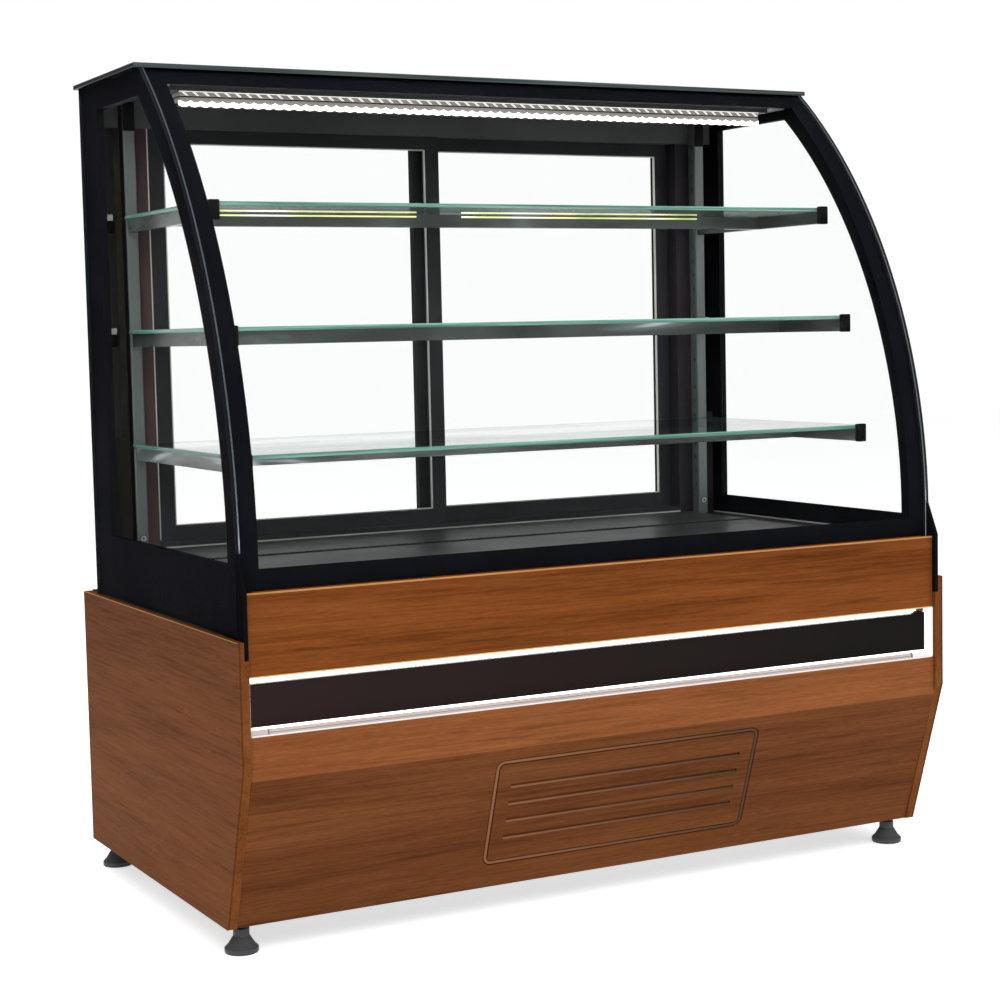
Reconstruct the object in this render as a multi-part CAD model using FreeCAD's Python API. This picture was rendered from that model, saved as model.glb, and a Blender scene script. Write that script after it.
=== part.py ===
import FreeCAD, Part
import math
import os

# Refrigerated glass display showcase with a curved front, wood-faced base and rear sliding doors.
# Millimetres. +X to the customer's right, +Y from the front to the rear, +Z up.
# Origin: on the floor, in the middle of the overall width and depth.

V = FreeCAD.Vector

# ---- driving dimensions: whole case ----
WIDTH = 1200.0
DEPTH = 700.0
HEIGHT = 1255.0
FRONT = -DEPTH / 2
FASCIA_Y = FRONT + 7.0            # front plane of the upper fascia
BOARD = 15.0                      # laminated board thickness
INNER_X = WIDTH / 2 - BOARD       # inner face of the wood side panels
REAR_Y = 343.0                    # rear edge of the wood side panels
BASE_Z = 42.0                     # lower edge of the base panels
BASE_TOP = 450.0                  # top of the wood side panels
KINK_Z = 276.0                    # height where the base front starts to slant back
TOE_Y = -274.0                    # front of the side panels at the bottom

# ---- front panels ----
PANEL_X = INNER_X - 0.4
BAND_Y = -345.5
FOLD_Z = 260.0
BAND_TOP = 320.0
LOWER_TOE_Y = -271.0
FASCIA_Z = (400.5, 514.6)
FASCIA_SKIN = 4.0
GRILLE_X = 20.0                   # middle of the routed grille outline
GRILLE_SIZE = (458.0, 175.0)
GRILLE_DROP = 18.0                # from the fold to the outline, along the slant
GRILLE_RADIUS = 15.0
GROOVE = 8.0
GROOVE_DEPTH = 3.0
SLOT_LENGTH = 400.0
SLOT_PITCH_S = 28.5
SLOT_COUNT = 4

# ---- lit recess ----
RECESS_BACK_Y = -311.0
SHEET = 1.5
BACKLIT_Y = -332.0
BACKLIT_X = 577.5
BACKLIT_Z = (331.0, 390.0)
BACKLIT_T = 5.0

# ---- glass house ----
PANE = 6.0
RING = 12.0                       # depth of the black edge frame behind the side glass
GLASS_REAR_Y = 298.5
ARC_Y = 587.0                     # centre of the curved front
ARC_Z = 545.0
ARC_R = 915.0
PANE_X = 591.0                    # outer face of the side glass
REBATE_Z = 425.0                  # floor of the rebate that the side glass stands in
CHEEK_Z = (518.0, 567.0)          # where the black cheek beside the fascia slopes forward
TOP_Z = HEIGHT - 7.0
WINDOW_REAR_Y = 229.5
WINDOW_Z = (547.0, 1210.0)
WINDOW_EDGE = 46.0                # side window edge to the curved edge
FRONT_EDGE_X = 556.0
FRONT_WINDOW_Z = (544.0, 1223.0)
ENAMEL = 1.2
TOP_X = 599.0
TOP_Y = (0.5, 300.5)
HOUSE_X = 571.0                   # half width inside the edge frames

# ---- deck and well ----
SLAB_Z = (452.0, 512.0)
SLAB_Y = (-320.0, 300.0)
DECK_Z = 515.0
WELL_X = 500.0
WELL_Y = (-180.0, 180.0)
WELL_Z = 330.0
WELL_WALL = 22.0
COVER_X = 505.0

# ---- rear doors ----
DOOR_STILE = 26.0
DOOR_T = 14.0
NEAR_Y = 258.5
FAR_Y = 280.5
DOOR_Z = (519.5, 1200.0)
DOOR_RAIL = 35.0
DOOR_LAP = 20.0
OPENING_X = 497.0
TRACK_Z = 530.0
BEAM_Z = 1187.0
POST_X = 552.0                    # outer face of the rear posts
POST_Y = (255.0, 298.0)
GUSSET_TOP = 700.0                # top of the plates that close the lower part of the gaps beside the posts
DOOR_GLASS_T = 5.0

# ---- shelves ----
UPRIGHT_X = 533.0
UPRIGHT_W = 19.0
UPRIGHT_Y = (231.0, 252.0)
UPRIGHT_TOP = 1226.0
SLOT_PITCH = 25.5
SHELF_TOP = 691.0                 # top of the lowest glass shelf
SHELF_STEP = 7 * SLOT_PITCH
SHELF_FRONTS = (-233.0, -194.0, -136.0)
SHELF_GLASS = 6.0
SHELF_X = 545.0
ARM_W = 12.0
ARM_H = 20.0
CAP = 8.0
RAIL_BACK = 185.0                 # from the shelf front to the cross rail
RAIL_W = 14.0

# ---- lamp ----
LAMP_X = 535.0                    # half length of the lamp body
TUBE_X = 523.0                    # half length of the lit cover
LAMP_Y = (18.0, 62.0)
LAMP_Z = (1196.0, 1219.0)

# ---- base frame, feet ----
TUBE = 30.0
TUBE_WALL = 2.0
SILL_Z = 45.0
FRAME_Y = (-256.0, 338.0)
FEET_X = 568.5
FEET_Y = (-244.0, 314.0)
STEM_R = 5.0
RUN = 0.05                        # radial running clearance

os.makedirs("parts", exist_ok=True)


def save(name, *solids):
    shape = solids[0] if len(solids) == 1 else Part.makeCompound(list(solids))
    shape.exportStep("parts/" + name + ".step")


def box(x, y, z):
    return Part.makeBox(x[1] - x[0], y[1] - y[0], z[1] - z[0], V(x[0], y[0], z[0]))


def cyl(radius, length, at, axis=(0, 0, 1)):
    return Part.makeCylinder(radius, length, V(*at), V(*axis))


def prism(points, x0, x1):
    """Closed (y, z) outline extruded from x0 to x1."""
    wire = Part.makePolygon([V(x0, y, z) for y, z in points + points[:1]])
    return Part.Face(wire).extrude(V(x1 - x0, 0, 0))


def mirror_x(shape):
    return shape.mirror(V(0, 0, 0), V(1, 0, 0))


def fuse(first, *others):
    return first.fuse(list(others)).removeSplitter()


def arc_y(radius, z):
    """Y of the curved front of the given radius at height z."""
    return ARC_Y - math.sqrt(radius ** 2 - (z - ARC_Z) ** 2)


def arc_edge(radius, z0, z1, x):
    zm = (z0 + z1) / 2
    points = [V(x, arc_y(radius, z), z) for z in (z0, zm, z1)]
    return Part.Arc(*points).toShape()


def path_face(x, edges_and_points):
    """Face from a list of (y, z) corners, with finished edges put in between."""
    edges = []
    last = None
    for item in edges_and_points + edges_and_points[:1]:
        if isinstance(item, tuple):
            here = V(x, *item)
            if last is not None and (here - last).Length > 1e-6:
                edges.append(Part.LineSegment(last, here).toShape())
            last = here
        else:
            start, end = item.Vertexes[0].Point, item.Vertexes[-1].Point
            if last is not None and (end - last).Length < (start - last).Length:
                start, end = end, start
            if last is not None and (start - last).Length > 1e-6:
                edges.append(Part.LineSegment(last, start).toShape())
            edges.append(item)
            last = end
    return Part.Face(Part.Wire(Part.__sortEdges__(edges)))


def tube(x, y, z, axis):
    """Square steel tube with open ends along the given axis (0, 1 or 2)."""
    inner = [[a + TUBE_WALL, b - TUBE_WALL] for a, b in (x, y, z)]
    inner[axis] = [(x, y, z)[axis][0] - 1, (x, y, z)[axis][1] + 1]
    return box(x, y, z).cut(box(*inner))


# ======================= wood panels of the base =======================

def side_panel():
    outline = [(FRONT, BASE_TOP), (FRONT, KINK_Z), (TOE_Y, BASE_Z), (REAR_Y, BASE_Z), (REAR_Y, BASE_TOP)]
    rebate = box((INNER_X - 1, PANE_X + 0.1), (FRONT - 1, GLASS_REAR_Y + 0.5), (REBATE_Z, BASE_TOP + 1))
    return prism(outline, INNER_X, WIDTH / 2).cut(rebate)


save("side_panel_right", side_panel())
save("side_panel_left", mirror_x(side_panel()))

SLANT = math.atan2(LOWER_TOE_Y - BAND_Y, FOLD_Z - BASE_Z)
MITRE_Y = BAND_Y + BOARD
MITRE_Z = FOLD_Z - BOARD * math.tan(SLANT / 2)


def slanted_box(x, s, depth, proud=1.0):
    """Box on the slanted panel: x range, range along the slant from the fold, depth into the board."""
    solid = box(x, (-proud, depth), (-s[1], -s[0]))
    solid.rotate(V(0, 0, 0), V(1, 0, 0), math.degrees(SLANT))
    solid.translate(V(0, BAND_Y, FOLD_Z))
    return solid


def rounded_ring(x, s, radius, width, depth):
    """Rounded rectangular groove, width wide, cut into the slanted panel."""
    def slab(grow, r):
        solid = box((x[0] - grow, x[1] + grow), (-1.0, depth), (-s[1] - grow, -s[0] + grow))
        return solid.makeFillet(r, [e for e in solid.Edges if abs(e.tangentAt(e.FirstParameter).y) > 0.9])
    ring = slab(0.0, radius).cut(slab(-width, radius - width))
    ring.rotate(V(0, 0, 0), V(1, 0, 0), math.degrees(SLANT))
    ring.translate(V(0, BAND_Y, FOLD_Z))
    return ring


def front_lower_panel():
    toe_inner_y = LOWER_TOE_Y + BOARD / math.cos(SLANT)
    panel = prism([(BAND_Y, FOLD_Z), (LOWER_TOE_Y, BASE_Z), (toe_inner_y, BASE_Z), (MITRE_Y, MITRE_Z)],
                  -PANEL_X, PANEL_X)
    half = GRILLE_SIZE[0] / 2
    span = (GRILLE_X - half, GRILLE_X + half)
    drop = (GRILLE_DROP, GRILLE_DROP + GRILLE_SIZE[1])
    cuts = [rounded_ring(span, drop, GRILLE_RADIUS, GROOVE, GROOVE_DEPTH)]
    first = (drop[0] + drop[1]) / 2 - (SLOT_COUNT - 1) / 2 * SLOT_PITCH_S
    for i in range(SLOT_COUNT):
        middle = first + i * SLOT_PITCH_S
        x = (GRILLE_X - SLOT_LENGTH / 2, GRILLE_X + SLOT_LENGTH / 2)
        cuts.append(slanted_box(x, (middle - GROOVE / 2, middle + GROOVE / 2), GROOVE_DEPTH))
    return panel.cut(cuts)


save("front_lower_panel", front_lower_panel())
save("front_band_panel", prism(
    [(BAND_Y, FOLD_Z), (BAND_Y, BAND_TOP), (MITRE_Y, BAND_TOP), (MITRE_Y, MITRE_Z)], -PANEL_X, PANEL_X))
save("front_fascia", fuse(
    box((-PANEL_X, PANEL_X), (FASCIA_Y, FASCIA_Y + FASCIA_SKIN), FASCIA_Z),
    box((-HOUSE_X, HOUSE_X), (FASCIA_Y + FASCIA_SKIN, FASCIA_Y + BOARD), FASCIA_Z)))

# ======================= lit recess behind the black strip =======================

CHANNEL_X = INNER_X - 2.0
CHANNEL_FRONT = BAND_Y + 2.0


def light_channel():
    back = box((-CHANNEL_X, CHANNEL_X), (RECESS_BACK_Y - SHEET, RECESS_BACK_Y), (BAND_TOP, FASCIA_Z[0]))
    ledge = box((-CHANNEL_X, CHANNEL_X), (CHANNEL_FRONT, RECESS_BACK_Y), (BAND_TOP, BAND_TOP + SHEET))
    roof = box((-CHANNEL_X, CHANNEL_X), (CHANNEL_FRONT + 4, RECESS_BACK_Y),
               (FASCIA_Z[0] - SHEET, FASCIA_Z[0]))
    return fuse(back, ledge, roof)


save("light_channel", light_channel())
save("backlit_panel", box((-BACKLIT_X, BACKLIT_X), (BACKLIT_Y, BACKLIT_Y + BACKLIT_T), BACKLIT_Z))

STANDOFF_Y = BACKLIT_Y + BACKLIT_T
STANDOFF_LENGTH = RECESS_BACK_Y - SHEET - STANDOFF_Y
save("backlit_standoffs", *[
    cyl(5.0, STANDOFF_LENGTH, (-500.0 + 250.0 * i, STANDOFF_Y, sum(BACKLIT_Z) / 2), (0, 1, 0)) for i in range(5)])
LIGHT_Y = (STANDOFF_Y + 2.0, RECESS_BACK_Y - SHEET)
save("recess_lights",
     box((-570.0, 570.0), LIGHT_Y, (BAND_TOP + SHEET, BACKLIT_Z[0] - 1.5)),
     box((-570.0, 570.0), LIGHT_Y, (BACKLIT_Z[1] + 1.5, FASCIA_Z[0] - SHEET)))

# ======================= steel frame, pan and feet =======================

SILL = (SILL_Z, SILL_Z + TUBE)
PAN_TOP = SILL[1] + SHEET
RAIL_Z = (BASE_TOP - TUBE, BASE_TOP)
SIDE_TUBE = (INNER_X - TUBE, INNER_X)
FRONT_TUBE = (FRAME_Y[0], FRAME_Y[0] + TUBE)
REAR_TUBE = (FRAME_Y[1] - TUBE, FRAME_Y[1])


def base_frame():
    tubes = []
    for z in (SILL, RAIL_Z):
        for x in (SIDE_TUBE, (-SIDE_TUBE[1], -SIDE_TUBE[0])):
            tubes.append(tube(x, FRAME_Y, z, 1))
        for y in (FRONT_TUBE, REAR_TUBE):
            tubes.append(tube((-SIDE_TUBE[0], SIDE_TUBE[0]), y, z, 0))
    for x in (SIDE_TUBE, (-SIDE_TUBE[1], -SIDE_TUBE[0])):
        for y in (FRONT_TUBE, REAR_TUBE):
            tubes.append(tube(x, y, (PAN_TOP, RAIL_Z[0]), 2))
    holes = [cyl(STEM_R + RUN, TUBE / 2, (sx * FEET_X, y, SILL_Z - 1)) for sx in (-1, 1) for y in FEET_Y]
    return [t.cut(holes) for t in tubes]


save("base_frame", *base_frame())
save("base_pan", box((-INNER_X + 1, INNER_X - 1), FRAME_Y, (SILL[1], PAN_TOP)))


def levelling_foot(x, y):
    profile = [(0, 0), (23, 0), (24, 2), (24, 7), (19, 12), (11.5, 24), (11.5, 34), (STEM_R, 34),
               (STEM_R, SILL_Z + TUBE / 2), (0, SILL_Z + TUBE / 2)]
    wire = Part.makePolygon([V(r, 0, z) for r, z in profile + profile[:1]])
    foot = Part.Face(wire).revolve(V(0, 0, 0), V(0, 0, 1), 360)
    foot.translate(V(x, y, 0))
    return foot


for side, sx in (("left", -1), ("right", 1)):
    for end, y in (("front", FEET_Y[0]), ("rear", FEET_Y[1])):
        save("foot_%s_%s" % (end, side), levelling_foot(sx * FEET_X, y))

# ======================= refrigeration machine in the base =======================

COMPRESSOR = (-330.0, 60.0)


def compressor():
    profile = [(0, 22), (78, 22), (85, 32), (85, 118), (88, 120), (88, 128), (84, 130), (84, 150),
               (74, 176), (52, 194), (24, 203), (0, 205)]
    wire = Part.makePolygon([V(r, 0, z) for r, z in profile + profile[:1]])
    shell = Part.Face(wire).revolve(V(0, 0, 0), V(0, 0, 1), 360)
    plate = box((-100, 100), (-55, 55), (16, 22))
    terminal = box((70, 104), (-26, 26), (70, 118))
    grommets = [cyl(12, 16, (sx * 85, sy * 42, 0)) for sx in (-1, 1) for sy in (-1, 1)]
    body = fuse(shell, plate, terminal, *grommets)
    body.translate(V(COMPRESSOR[0], COMPRESSOR[1], PAN_TOP))
    return body


save("compressor", compressor())


def coil(x, y, z, bends, radius):
    """Finned block between two end plates, with return bends standing out of the left plate."""
    block = box((x[0] + 3, x[1] - 3), (y[0] + 3, y[1] - 3), (z[0] + 3, z[1] - 3))
    plates = [box((x[0], x[0] + 3), y, z), box((x[1] - 3, x[1]), y, z)]
    pitch = (z[1] - z[0]) / (bends + 1)
    loops = []
    for i in range(bends):
        zc = z[0] + pitch * (i + 1)
        ring = Part.makeTorus(pitch * 0.3, radius, V(x[0], sum(y) / 2, zc), V(0, 1, 0))
        loops.append(ring.common(box((x[0] - 60, x[0]), (y[0], y[1]), (z[0], z[1]))))
    return fuse(block, *(plates + loops))


CONDENSER_X = (GRILLE_X - 125, GRILLE_X + 125)
save("condenser_coil", coil(CONDENSER_X, (-215, -160), (PAN_TOP, PAN_TOP + 210), 5, 4.0))

FAN_R = 92.0
FAN_AT = (GRILLE_X, -132.0, PAN_TOP + 105.0)


def condenser_fan_shroud():
    plate = box(CONDENSER_X, (-160, -157), (PAN_TOP, PAN_TOP + 210))
    collar = cyl(FAN_R + 8, 36, (FAN_AT[0], -157, FAN_AT[2]), (0, 1, 0))
    body = fuse(plate, collar).cut(cyl(FAN_R + 5, 60, (FAN_AT[0], -170, FAN_AT[2]), (0, 1, 0)))
    bars = [box((CONDENSER_X[0], CONDENSER_X[1]), (-96, -90), (FAN_AT[2] - 12, FAN_AT[2] + 12))]
    feet = [box((x0, x0 + 12), (-157, -90), (PAN_TOP, FAN_AT[2] + 12))
            for x0 in (CONDENSER_X[0], CONDENSER_X[1] - 12)]
    motor = cyl(32, 50, (FAN_AT[0], -90, FAN_AT[2]), (0, 1, 0))
    spindle = cyl(4, 42, (FAN_AT[0], -132, FAN_AT[2]), (0, 1, 0))
    return fuse(body, *(bars + feet + [motor, spindle]))


save("condenser_fan_shroud", condenser_fan_shroud())


def fan_blade(at, tip, hub, count, bore):
    """Axial fan with count pitched blades on a hub, axis along Y, centred at the given point."""
    half = 10.0
    body = cyl(hub, 2 * half, (0, -half, 0), (0, 1, 0))
    root = hub - 4
    for i in range(count):
        blade = box((-tip * 0.32, tip * 0.32), (-1.0, 1.0), (root, tip - 2))
        blade.rotate(V(0, 0, 0), V(0, 0, 1), 24)
        blade = blade.common(cyl(tip, 4 * half, (0, -2 * half, 0), (0, 1, 0)))
        blade.rotate(V(0, 0, 0), V(0, 1, 0), 360.0 / count * i)
        body = body.fuse(blade)
    body = body.cut(cyl(bore, 4 * half, (0, -2 * half, 0), (0, 1, 0)))
    body.translate(V(*at))
    return body.removeSplitter()


save("condenser_fan_blade", fan_blade((FAN_AT[0], -120.0, FAN_AT[2]), FAN_R, 24.0, 5, 4.0 + RUN))


def drain_tray():
    x, y, z = (250.0, 470.0), (-60.0, 140.0), (PAN_TOP, PAN_TOP + 45)
    return box(x, y, z).cut(box((x[0] + 2, x[1] - 2), (y[0] + 2, y[1] - 2), (z[0] + 2, z[1] + 1)))


save("drain_tray", drain_tray())


def pipe(points, radius, bend):
    """Round pipe along straight runs joined by tangent arcs."""
    pts = [V(*p) for p in points]
    edges = []
    last = pts[0]
    for before, corner, after in zip(pts, pts[1:], pts[2:]):
        a = (before - corner).normalize()
        b = (after - corner).normalize()
        half = a.getAngle(b) / 2
        reach = bend / math.tan(half)
        start, end = corner + a * reach, corner + b * reach
        centre = corner + (a + b).normalize() * (bend / math.sin(half))
        middle = centre + (corner - centre).normalize() * bend
        edges.append(Part.LineSegment(last, start).toShape())
        edges.append(Part.Arc(start, middle, end).toShape())
        last = end
    edges.append(Part.LineSegment(last, pts[-1]).toShape())
    wire = Part.Wire(edges)
    ring = Part.Wire(Part.makeCircle(radius, pts[0], pts[1] - pts[0]))
    return wire.makePipeShell([ring], True, True)


CX, CY = COMPRESSOR
save("refrigerant_pipes",
     pipe([(CX, CY - 85, PAN_TOP + 60), (CX, CY - 160, PAN_TOP + 60), (-150, CY - 160, PAN_TOP + 60),
           (-150, -187, PAN_TOP + 60), (CONDENSER_X[0] - 24, -187, PAN_TOP + 60)], 4.0, 18.0),
     pipe([(CX, CY + 85, PAN_TOP + 90), (CX, CY + 130, PAN_TOP + 90), (CX - 110, CY + 130, PAN_TOP + 90),
           (CX - 110, CY + 130, 300), (CX - 110, 100, 300), (CX - 110, 100, WELL_Z)], 5.0, 20.0))

# ======================= insulated well and deck =======================


def well_trough():
    outer = box((-WELL_X, WELL_X), WELL_Y, (WELL_Z, SLAB_Z[0]))
    w = WELL_WALL
    return outer.cut(box((-WELL_X + w, WELL_X - w), (WELL_Y[0] + w, WELL_Y[1] - w), (WELL_Z + w, SLAB_Z[0] + 1)))


save("well_trough", well_trough())

FRONT_SLOT_Y = (-300.0, -285.0)
WELL_MOUTH = box((-460.0, 460.0), (-150.0, 150.0), (SLAB_Z[0] - 1, DECK_Z + 1))
save("deck_insulation", box((-HOUSE_X, HOUSE_X), SLAB_Y, SLAB_Z).cut(WELL_MOUTH))

COIL_Z = (WELL_Z + WELL_WALL, WELL_Z + WELL_WALL + 90)
save("evaporator_coil", coil((-380.0, 380.0), (30.0, 130.0), COIL_Z, 3, 5.0))
EVAP_AT = (0.0, -60.0, WELL_Z + WELL_WALL + 48)
EVAP_R = 42.0


def evaporator_fan_plate():
    z = (WELL_Z + WELL_WALL, SLAB_Z[0] - 4)
    plate = box((-450.0, 450.0), (-44.0, -42.0), z)
    plate = plate.cut(cyl(EVAP_R + 4, 10, (EVAP_AT[0], -48, EVAP_AT[2]), (0, 1, 0)))
    bridge = box((-56, 56), (-40, -36), (EVAP_AT[2] - 8, EVAP_AT[2] + 8))
    lugs = [box((x0, x0 + 8), (-42, -36), (EVAP_AT[2] - 8, EVAP_AT[2] + 8)) for x0 in (-56, 48)]
    motor = cyl(18, 34, (EVAP_AT[0], -36, EVAP_AT[2]), (0, 1, 0))
    spindle = cyl(3, 32, (EVAP_AT[0], -68, EVAP_AT[2]), (0, 1, 0))
    return fuse(plate, bridge, motor, spindle, *lugs)


save("evaporator_fan_plate", evaporator_fan_plate())
save("evaporator_fan_blade", fan_blade(EVAP_AT, EVAP_R, 13.0, 5, 3.0 + RUN))

# deck sheet with a row of air slots along its front, and two covers over the well
AIR_SLOTS = [box((x, x + 30), FRONT_SLOT_Y, (SLAB_Z[1] - 1, DECK_Z + 1)) for x in range(-500, 480, 40)]
save("deck_plate", box((-HOUSE_X, HOUSE_X), (SLAB_Y[0], 252.5), (SLAB_Z[1], DECK_Z)).cut(
    AIR_SLOTS + [WELL_MOUTH]))


def deck_cover(y, top, perforated):
    cover = box((-COVER_X, COVER_X), y, (DECK_Z, top))
    cover = cover.cut(box((-COVER_X + 2, COVER_X - 2), (y[0] + 2, y[1] - 2), (DECK_Z - 1, top - 1.5)))
    holes = []
    if perforated:
        count = 80
        pitch = 2 * (COVER_X - 15) / count
        for i in range(count):
            x = -COVER_X + 15 + pitch * i
            holes.append(box((x, x + 7), (y[0] + 5, y[0] + 9), (top - 3, top + 1)))
    return cover.cut(holes) if holes else cover


save("deck_covers", deck_cover((50.0, 228.0), DECK_Z + 6, True), deck_cover((-190.0, 47.0), DECK_Z + 4, False))

# ======================= glass house =======================


def pane_face(bottom):
    """Outline of a side pane from the given height to the top plate, with the curved front edge."""
    return path_face(0, [(GLASS_REAR_Y, bottom), (GLASS_REAR_Y, TOP_Z), arc_edge(ARC_R, TOP_Z, ARC_Z, 0),
                         (arc_y(ARC_R, ARC_Z), bottom)])


def side_window(x, depth):
    zm = (WINDOW_Z[0] + WINDOW_Z[1]) / 2
    radius = ARC_R - WINDOW_EDGE
    points = [V(0, arc_y(radius, z), z) for z in (WINDOW_Z[1], zm, WINDOW_Z[0])]
    face = path_face(0, [(WINDOW_REAR_Y, WINDOW_Z[0]), (WINDOW_REAR_Y, WINDOW_Z[1]), Part.Arc(*points).toShape()])
    face.translate(V(x, 0, 0))
    return face.extrude(V(depth, 0, 0))


def side_glass():
    face = pane_face(REBATE_Z)
    face.translate(V(PANE_X - PANE, 0, 0))
    return face.extrude(V(PANE, 0, 0))


def side_ring():
    """Black edge frame behind a side pane, open where the front glass passes."""
    inner_x = PANE_X - PANE - RING
    face = pane_face(BASE_TOP)
    face.translate(V(inner_x, 0, 0))
    ring = face.extrude(V(RING, 0, 0))
    foot = box((-1, PANE_X), (FRONT, arc_y(ARC_R - PANE - ENAMEL, ARC_Z) + 0.3), (BASE_TOP - 1, ARC_Z))
    return ring.cut([side_window(inner_x - 1, RING + 2), foot, front_keepout()])


def cheek():
    """Black cheek in front of a side pane, which covers the end of the fascia."""
    face = path_face(0, [(FRONT, REBATE_Z), (FRONT, CHEEK_Z[0]), (arc_y(ARC_R, CHEEK_Z[1]), CHEEK_Z[1]),
                         arc_edge(ARC_R, CHEEK_Z[1], ARC_Z, 0), (arc_y(ARC_R, ARC_Z), REBATE_Z)])
    face.translate(V(PANE_X - PANE, 0, 0))
    return face.extrude(V(PANE, 0, 0))


def curved_sheet(outer, inner, half_x, top, bottom):
    """Vertical at the foot, then curved back to the top: a sheet between two radii."""
    outer_arc = arc_edge(outer, ARC_Z, top, -half_x)
    inner_arc = arc_edge(inner, ARC_Z, top, -half_x)
    y_out, y_in = arc_y(outer, ARC_Z), arc_y(inner, ARC_Z)
    face = path_face(-half_x, [(y_out, bottom), outer_arc, inner_arc, (y_in, bottom)])
    return face.extrude(V(2 * half_x, 0, 0))


FRONT_GLASS_X = PANE_X - PANE - 0.3
GLASS_FOOT_Z = 508.0


def front_keepout():
    """Space of the front glass and its enamel edge, which the side frames leave free."""
    return curved_sheet(ARC_R + 5, ARC_R - PANE - ENAMEL - 0.3, INNER_X, TOP_Z, ARC_Z - 0.01)


save("side_glass_right", side_glass())
save("side_glass_left", mirror_x(side_glass()))
save("side_border_right", side_ring(), cheek())
save("side_border_left", mirror_x(side_ring()), mirror_x(cheek()))
save("front_glass", curved_sheet(ARC_R, ARC_R - PANE, FRONT_GLASS_X, TOP_Z, GLASS_FOOT_Z))
save("front_border", curved_sheet(ARC_R - PANE, ARC_R - PANE - ENAMEL, FRONT_GLASS_X, TOP_Z, GLASS_FOOT_Z).cut(
    box((-FRONT_EDGE_X, FRONT_EDGE_X), (-400, 200), FRONT_WINDOW_Z)))


def top_plate():
    plate = box((-TOP_X, TOP_X), TOP_Y, (TOP_Z, HEIGHT))
    corners = [e for e in plate.Edges if abs(e.tangentAt(e.FirstParameter).z) > 0.9]
    return plate.makeFillet(6.0, corners)


save("top_plate", top_plate())

# ======================= lamp under the top =======================

LAMP_MID = sum(LAMP_Y) / 2
COVER_HALF = 17.0


def lamp_housing():
    """Flat aluminium body with a stepped front lip."""
    body = box((-LAMP_X, LAMP_X), (LAMP_Y[0] + 4, LAMP_Y[1]), (LAMP_Z[1], TOP_Z))
    lip = box((-LAMP_X, LAMP_X), (LAMP_Y[0], LAMP_Y[0] + 4), (LAMP_Z[1] + 7, LAMP_Z[1] + 14))
    return fuse(body, lip)


def lamp_cover():
    """Lit cover under the body: straight walls and a shallow round belly."""
    wall_z = LAMP_Z[0] + 6
    arc = Part.Arc(V(-TUBE_X, LAMP_MID - COVER_HALF, wall_z), V(-TUBE_X, LAMP_MID, LAMP_Z[0]),
                   V(-TUBE_X, LAMP_MID + COVER_HALF, wall_z)).toShape()
    face = path_face(-TUBE_X, [(LAMP_MID - COVER_HALF, LAMP_Z[1]), arc, (LAMP_MID + COVER_HALF, LAMP_Z[1])])
    return face.extrude(V(2 * TUBE_X, 0, 0))


save("lamp_housing", lamp_housing())
save("lamp_diffuser", lamp_cover())

# ======================= rear wall: beam, track, posts and sliding doors =======================

WALLS_Y = ((253.0, 256.0), (275.5, 277.5), (297.0, 300.0))


def rear_top_beam():
    web = box((-HOUSE_X, HOUSE_X), (WALLS_Y[0][0], WALLS_Y[2][1]), (DOOR_Z[1] + 3, TOP_Z))
    fins = [box((-HOUSE_X, HOUSE_X), y, (BEAM_Z, DOOR_Z[1] + 3)) for y in WALLS_Y]
    return fuse(web, *fins)


def rear_bottom_track():
    floor = box((-OPENING_X, OPENING_X), (WALLS_Y[0][0], WALLS_Y[2][1]), (SLAB_Z[1], DECK_Z + 2))
    fins = [box((-OPENING_X, OPENING_X), y, (DECK_Z + 2, TRACK_Z)) for y in WALLS_Y]
    return fuse(floor, *fins)


save("rear_top_beam", rear_top_beam())
save("rear_bottom_track", rear_bottom_track())


def rear_post():
    """Square tube beside the door opening, with a plate at its foot that closes the gap to the edge frame."""
    post = tube((OPENING_X, POST_X), POST_Y, (SLAB_Z[1], BEAM_Z), 2)
    return fuse(post, box((POST_X, HOUSE_X), (POST_Y[0], POST_Y[0] + TUBE_WALL), (SLAB_Z[1], GUSSET_TOP)))


save("rear_posts", rear_post(), mirror_x(rear_post()))


def mitred_bar(y, corners):
    """One bar of a door frame: a flat trapezium in X and Z, as thick as the door."""
    wire = Part.makePolygon([V(px, y, pz) for px, pz in corners + corners[:1]])
    return Part.Face(wire).extrude(V(0, DOOR_T, 0))


def door(x0, x1, y, pull_side):
    z0, z1 = DOOR_Z
    s, r = DOOR_STILE, DOOR_RAIL
    outer = [(x0, z0), (x1, z0), (x1, z1), (x0, z1)]
    inner = [(x0 + s, z0 + r), (x1 - s, z0 + r), (x1 - s, z1 - r), (x0 + s, z1 - r)]
    groove_y = (y + (DOOR_T - DOOR_GLASS_T) / 2, y + (DOOR_T + DOOR_GLASS_T) / 2)
    bite = 8.0
    pane = box((x0 + s - bite, x1 - s + bite), groove_y, (z0 + r - bite, z1 - r + bite))
    pull_x = x0 + s / 2 if pull_side < 0 else x1 - s / 2
    pull = box((pull_x - 8, pull_x + 8), (y + DOOR_T - 4, y + DOOR_T + 1), (800.0, 920.0))
    pull = pull.makeFillet(7.5, [e for e in pull.Edges if abs(e.tangentAt(e.FirstParameter).y) > 0.9])
    shoes = []
    for cx in (x0 + 70.0, x1 - 70.0):
        shoes.append(box((cx - 25, cx + 25), (y + 2, y + DOOR_T - 2), (DECK_Z + 2.3, z0 + 12)))
    bars = []
    for i in range(4):
        j = (i + 1) % 4
        bar = mitred_bar(y, [outer[i], outer[j], inner[j], inner[i]])
        bars.append(bar.cut([pane, pull] + shoes))
    return bars, pane, shoes


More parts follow.
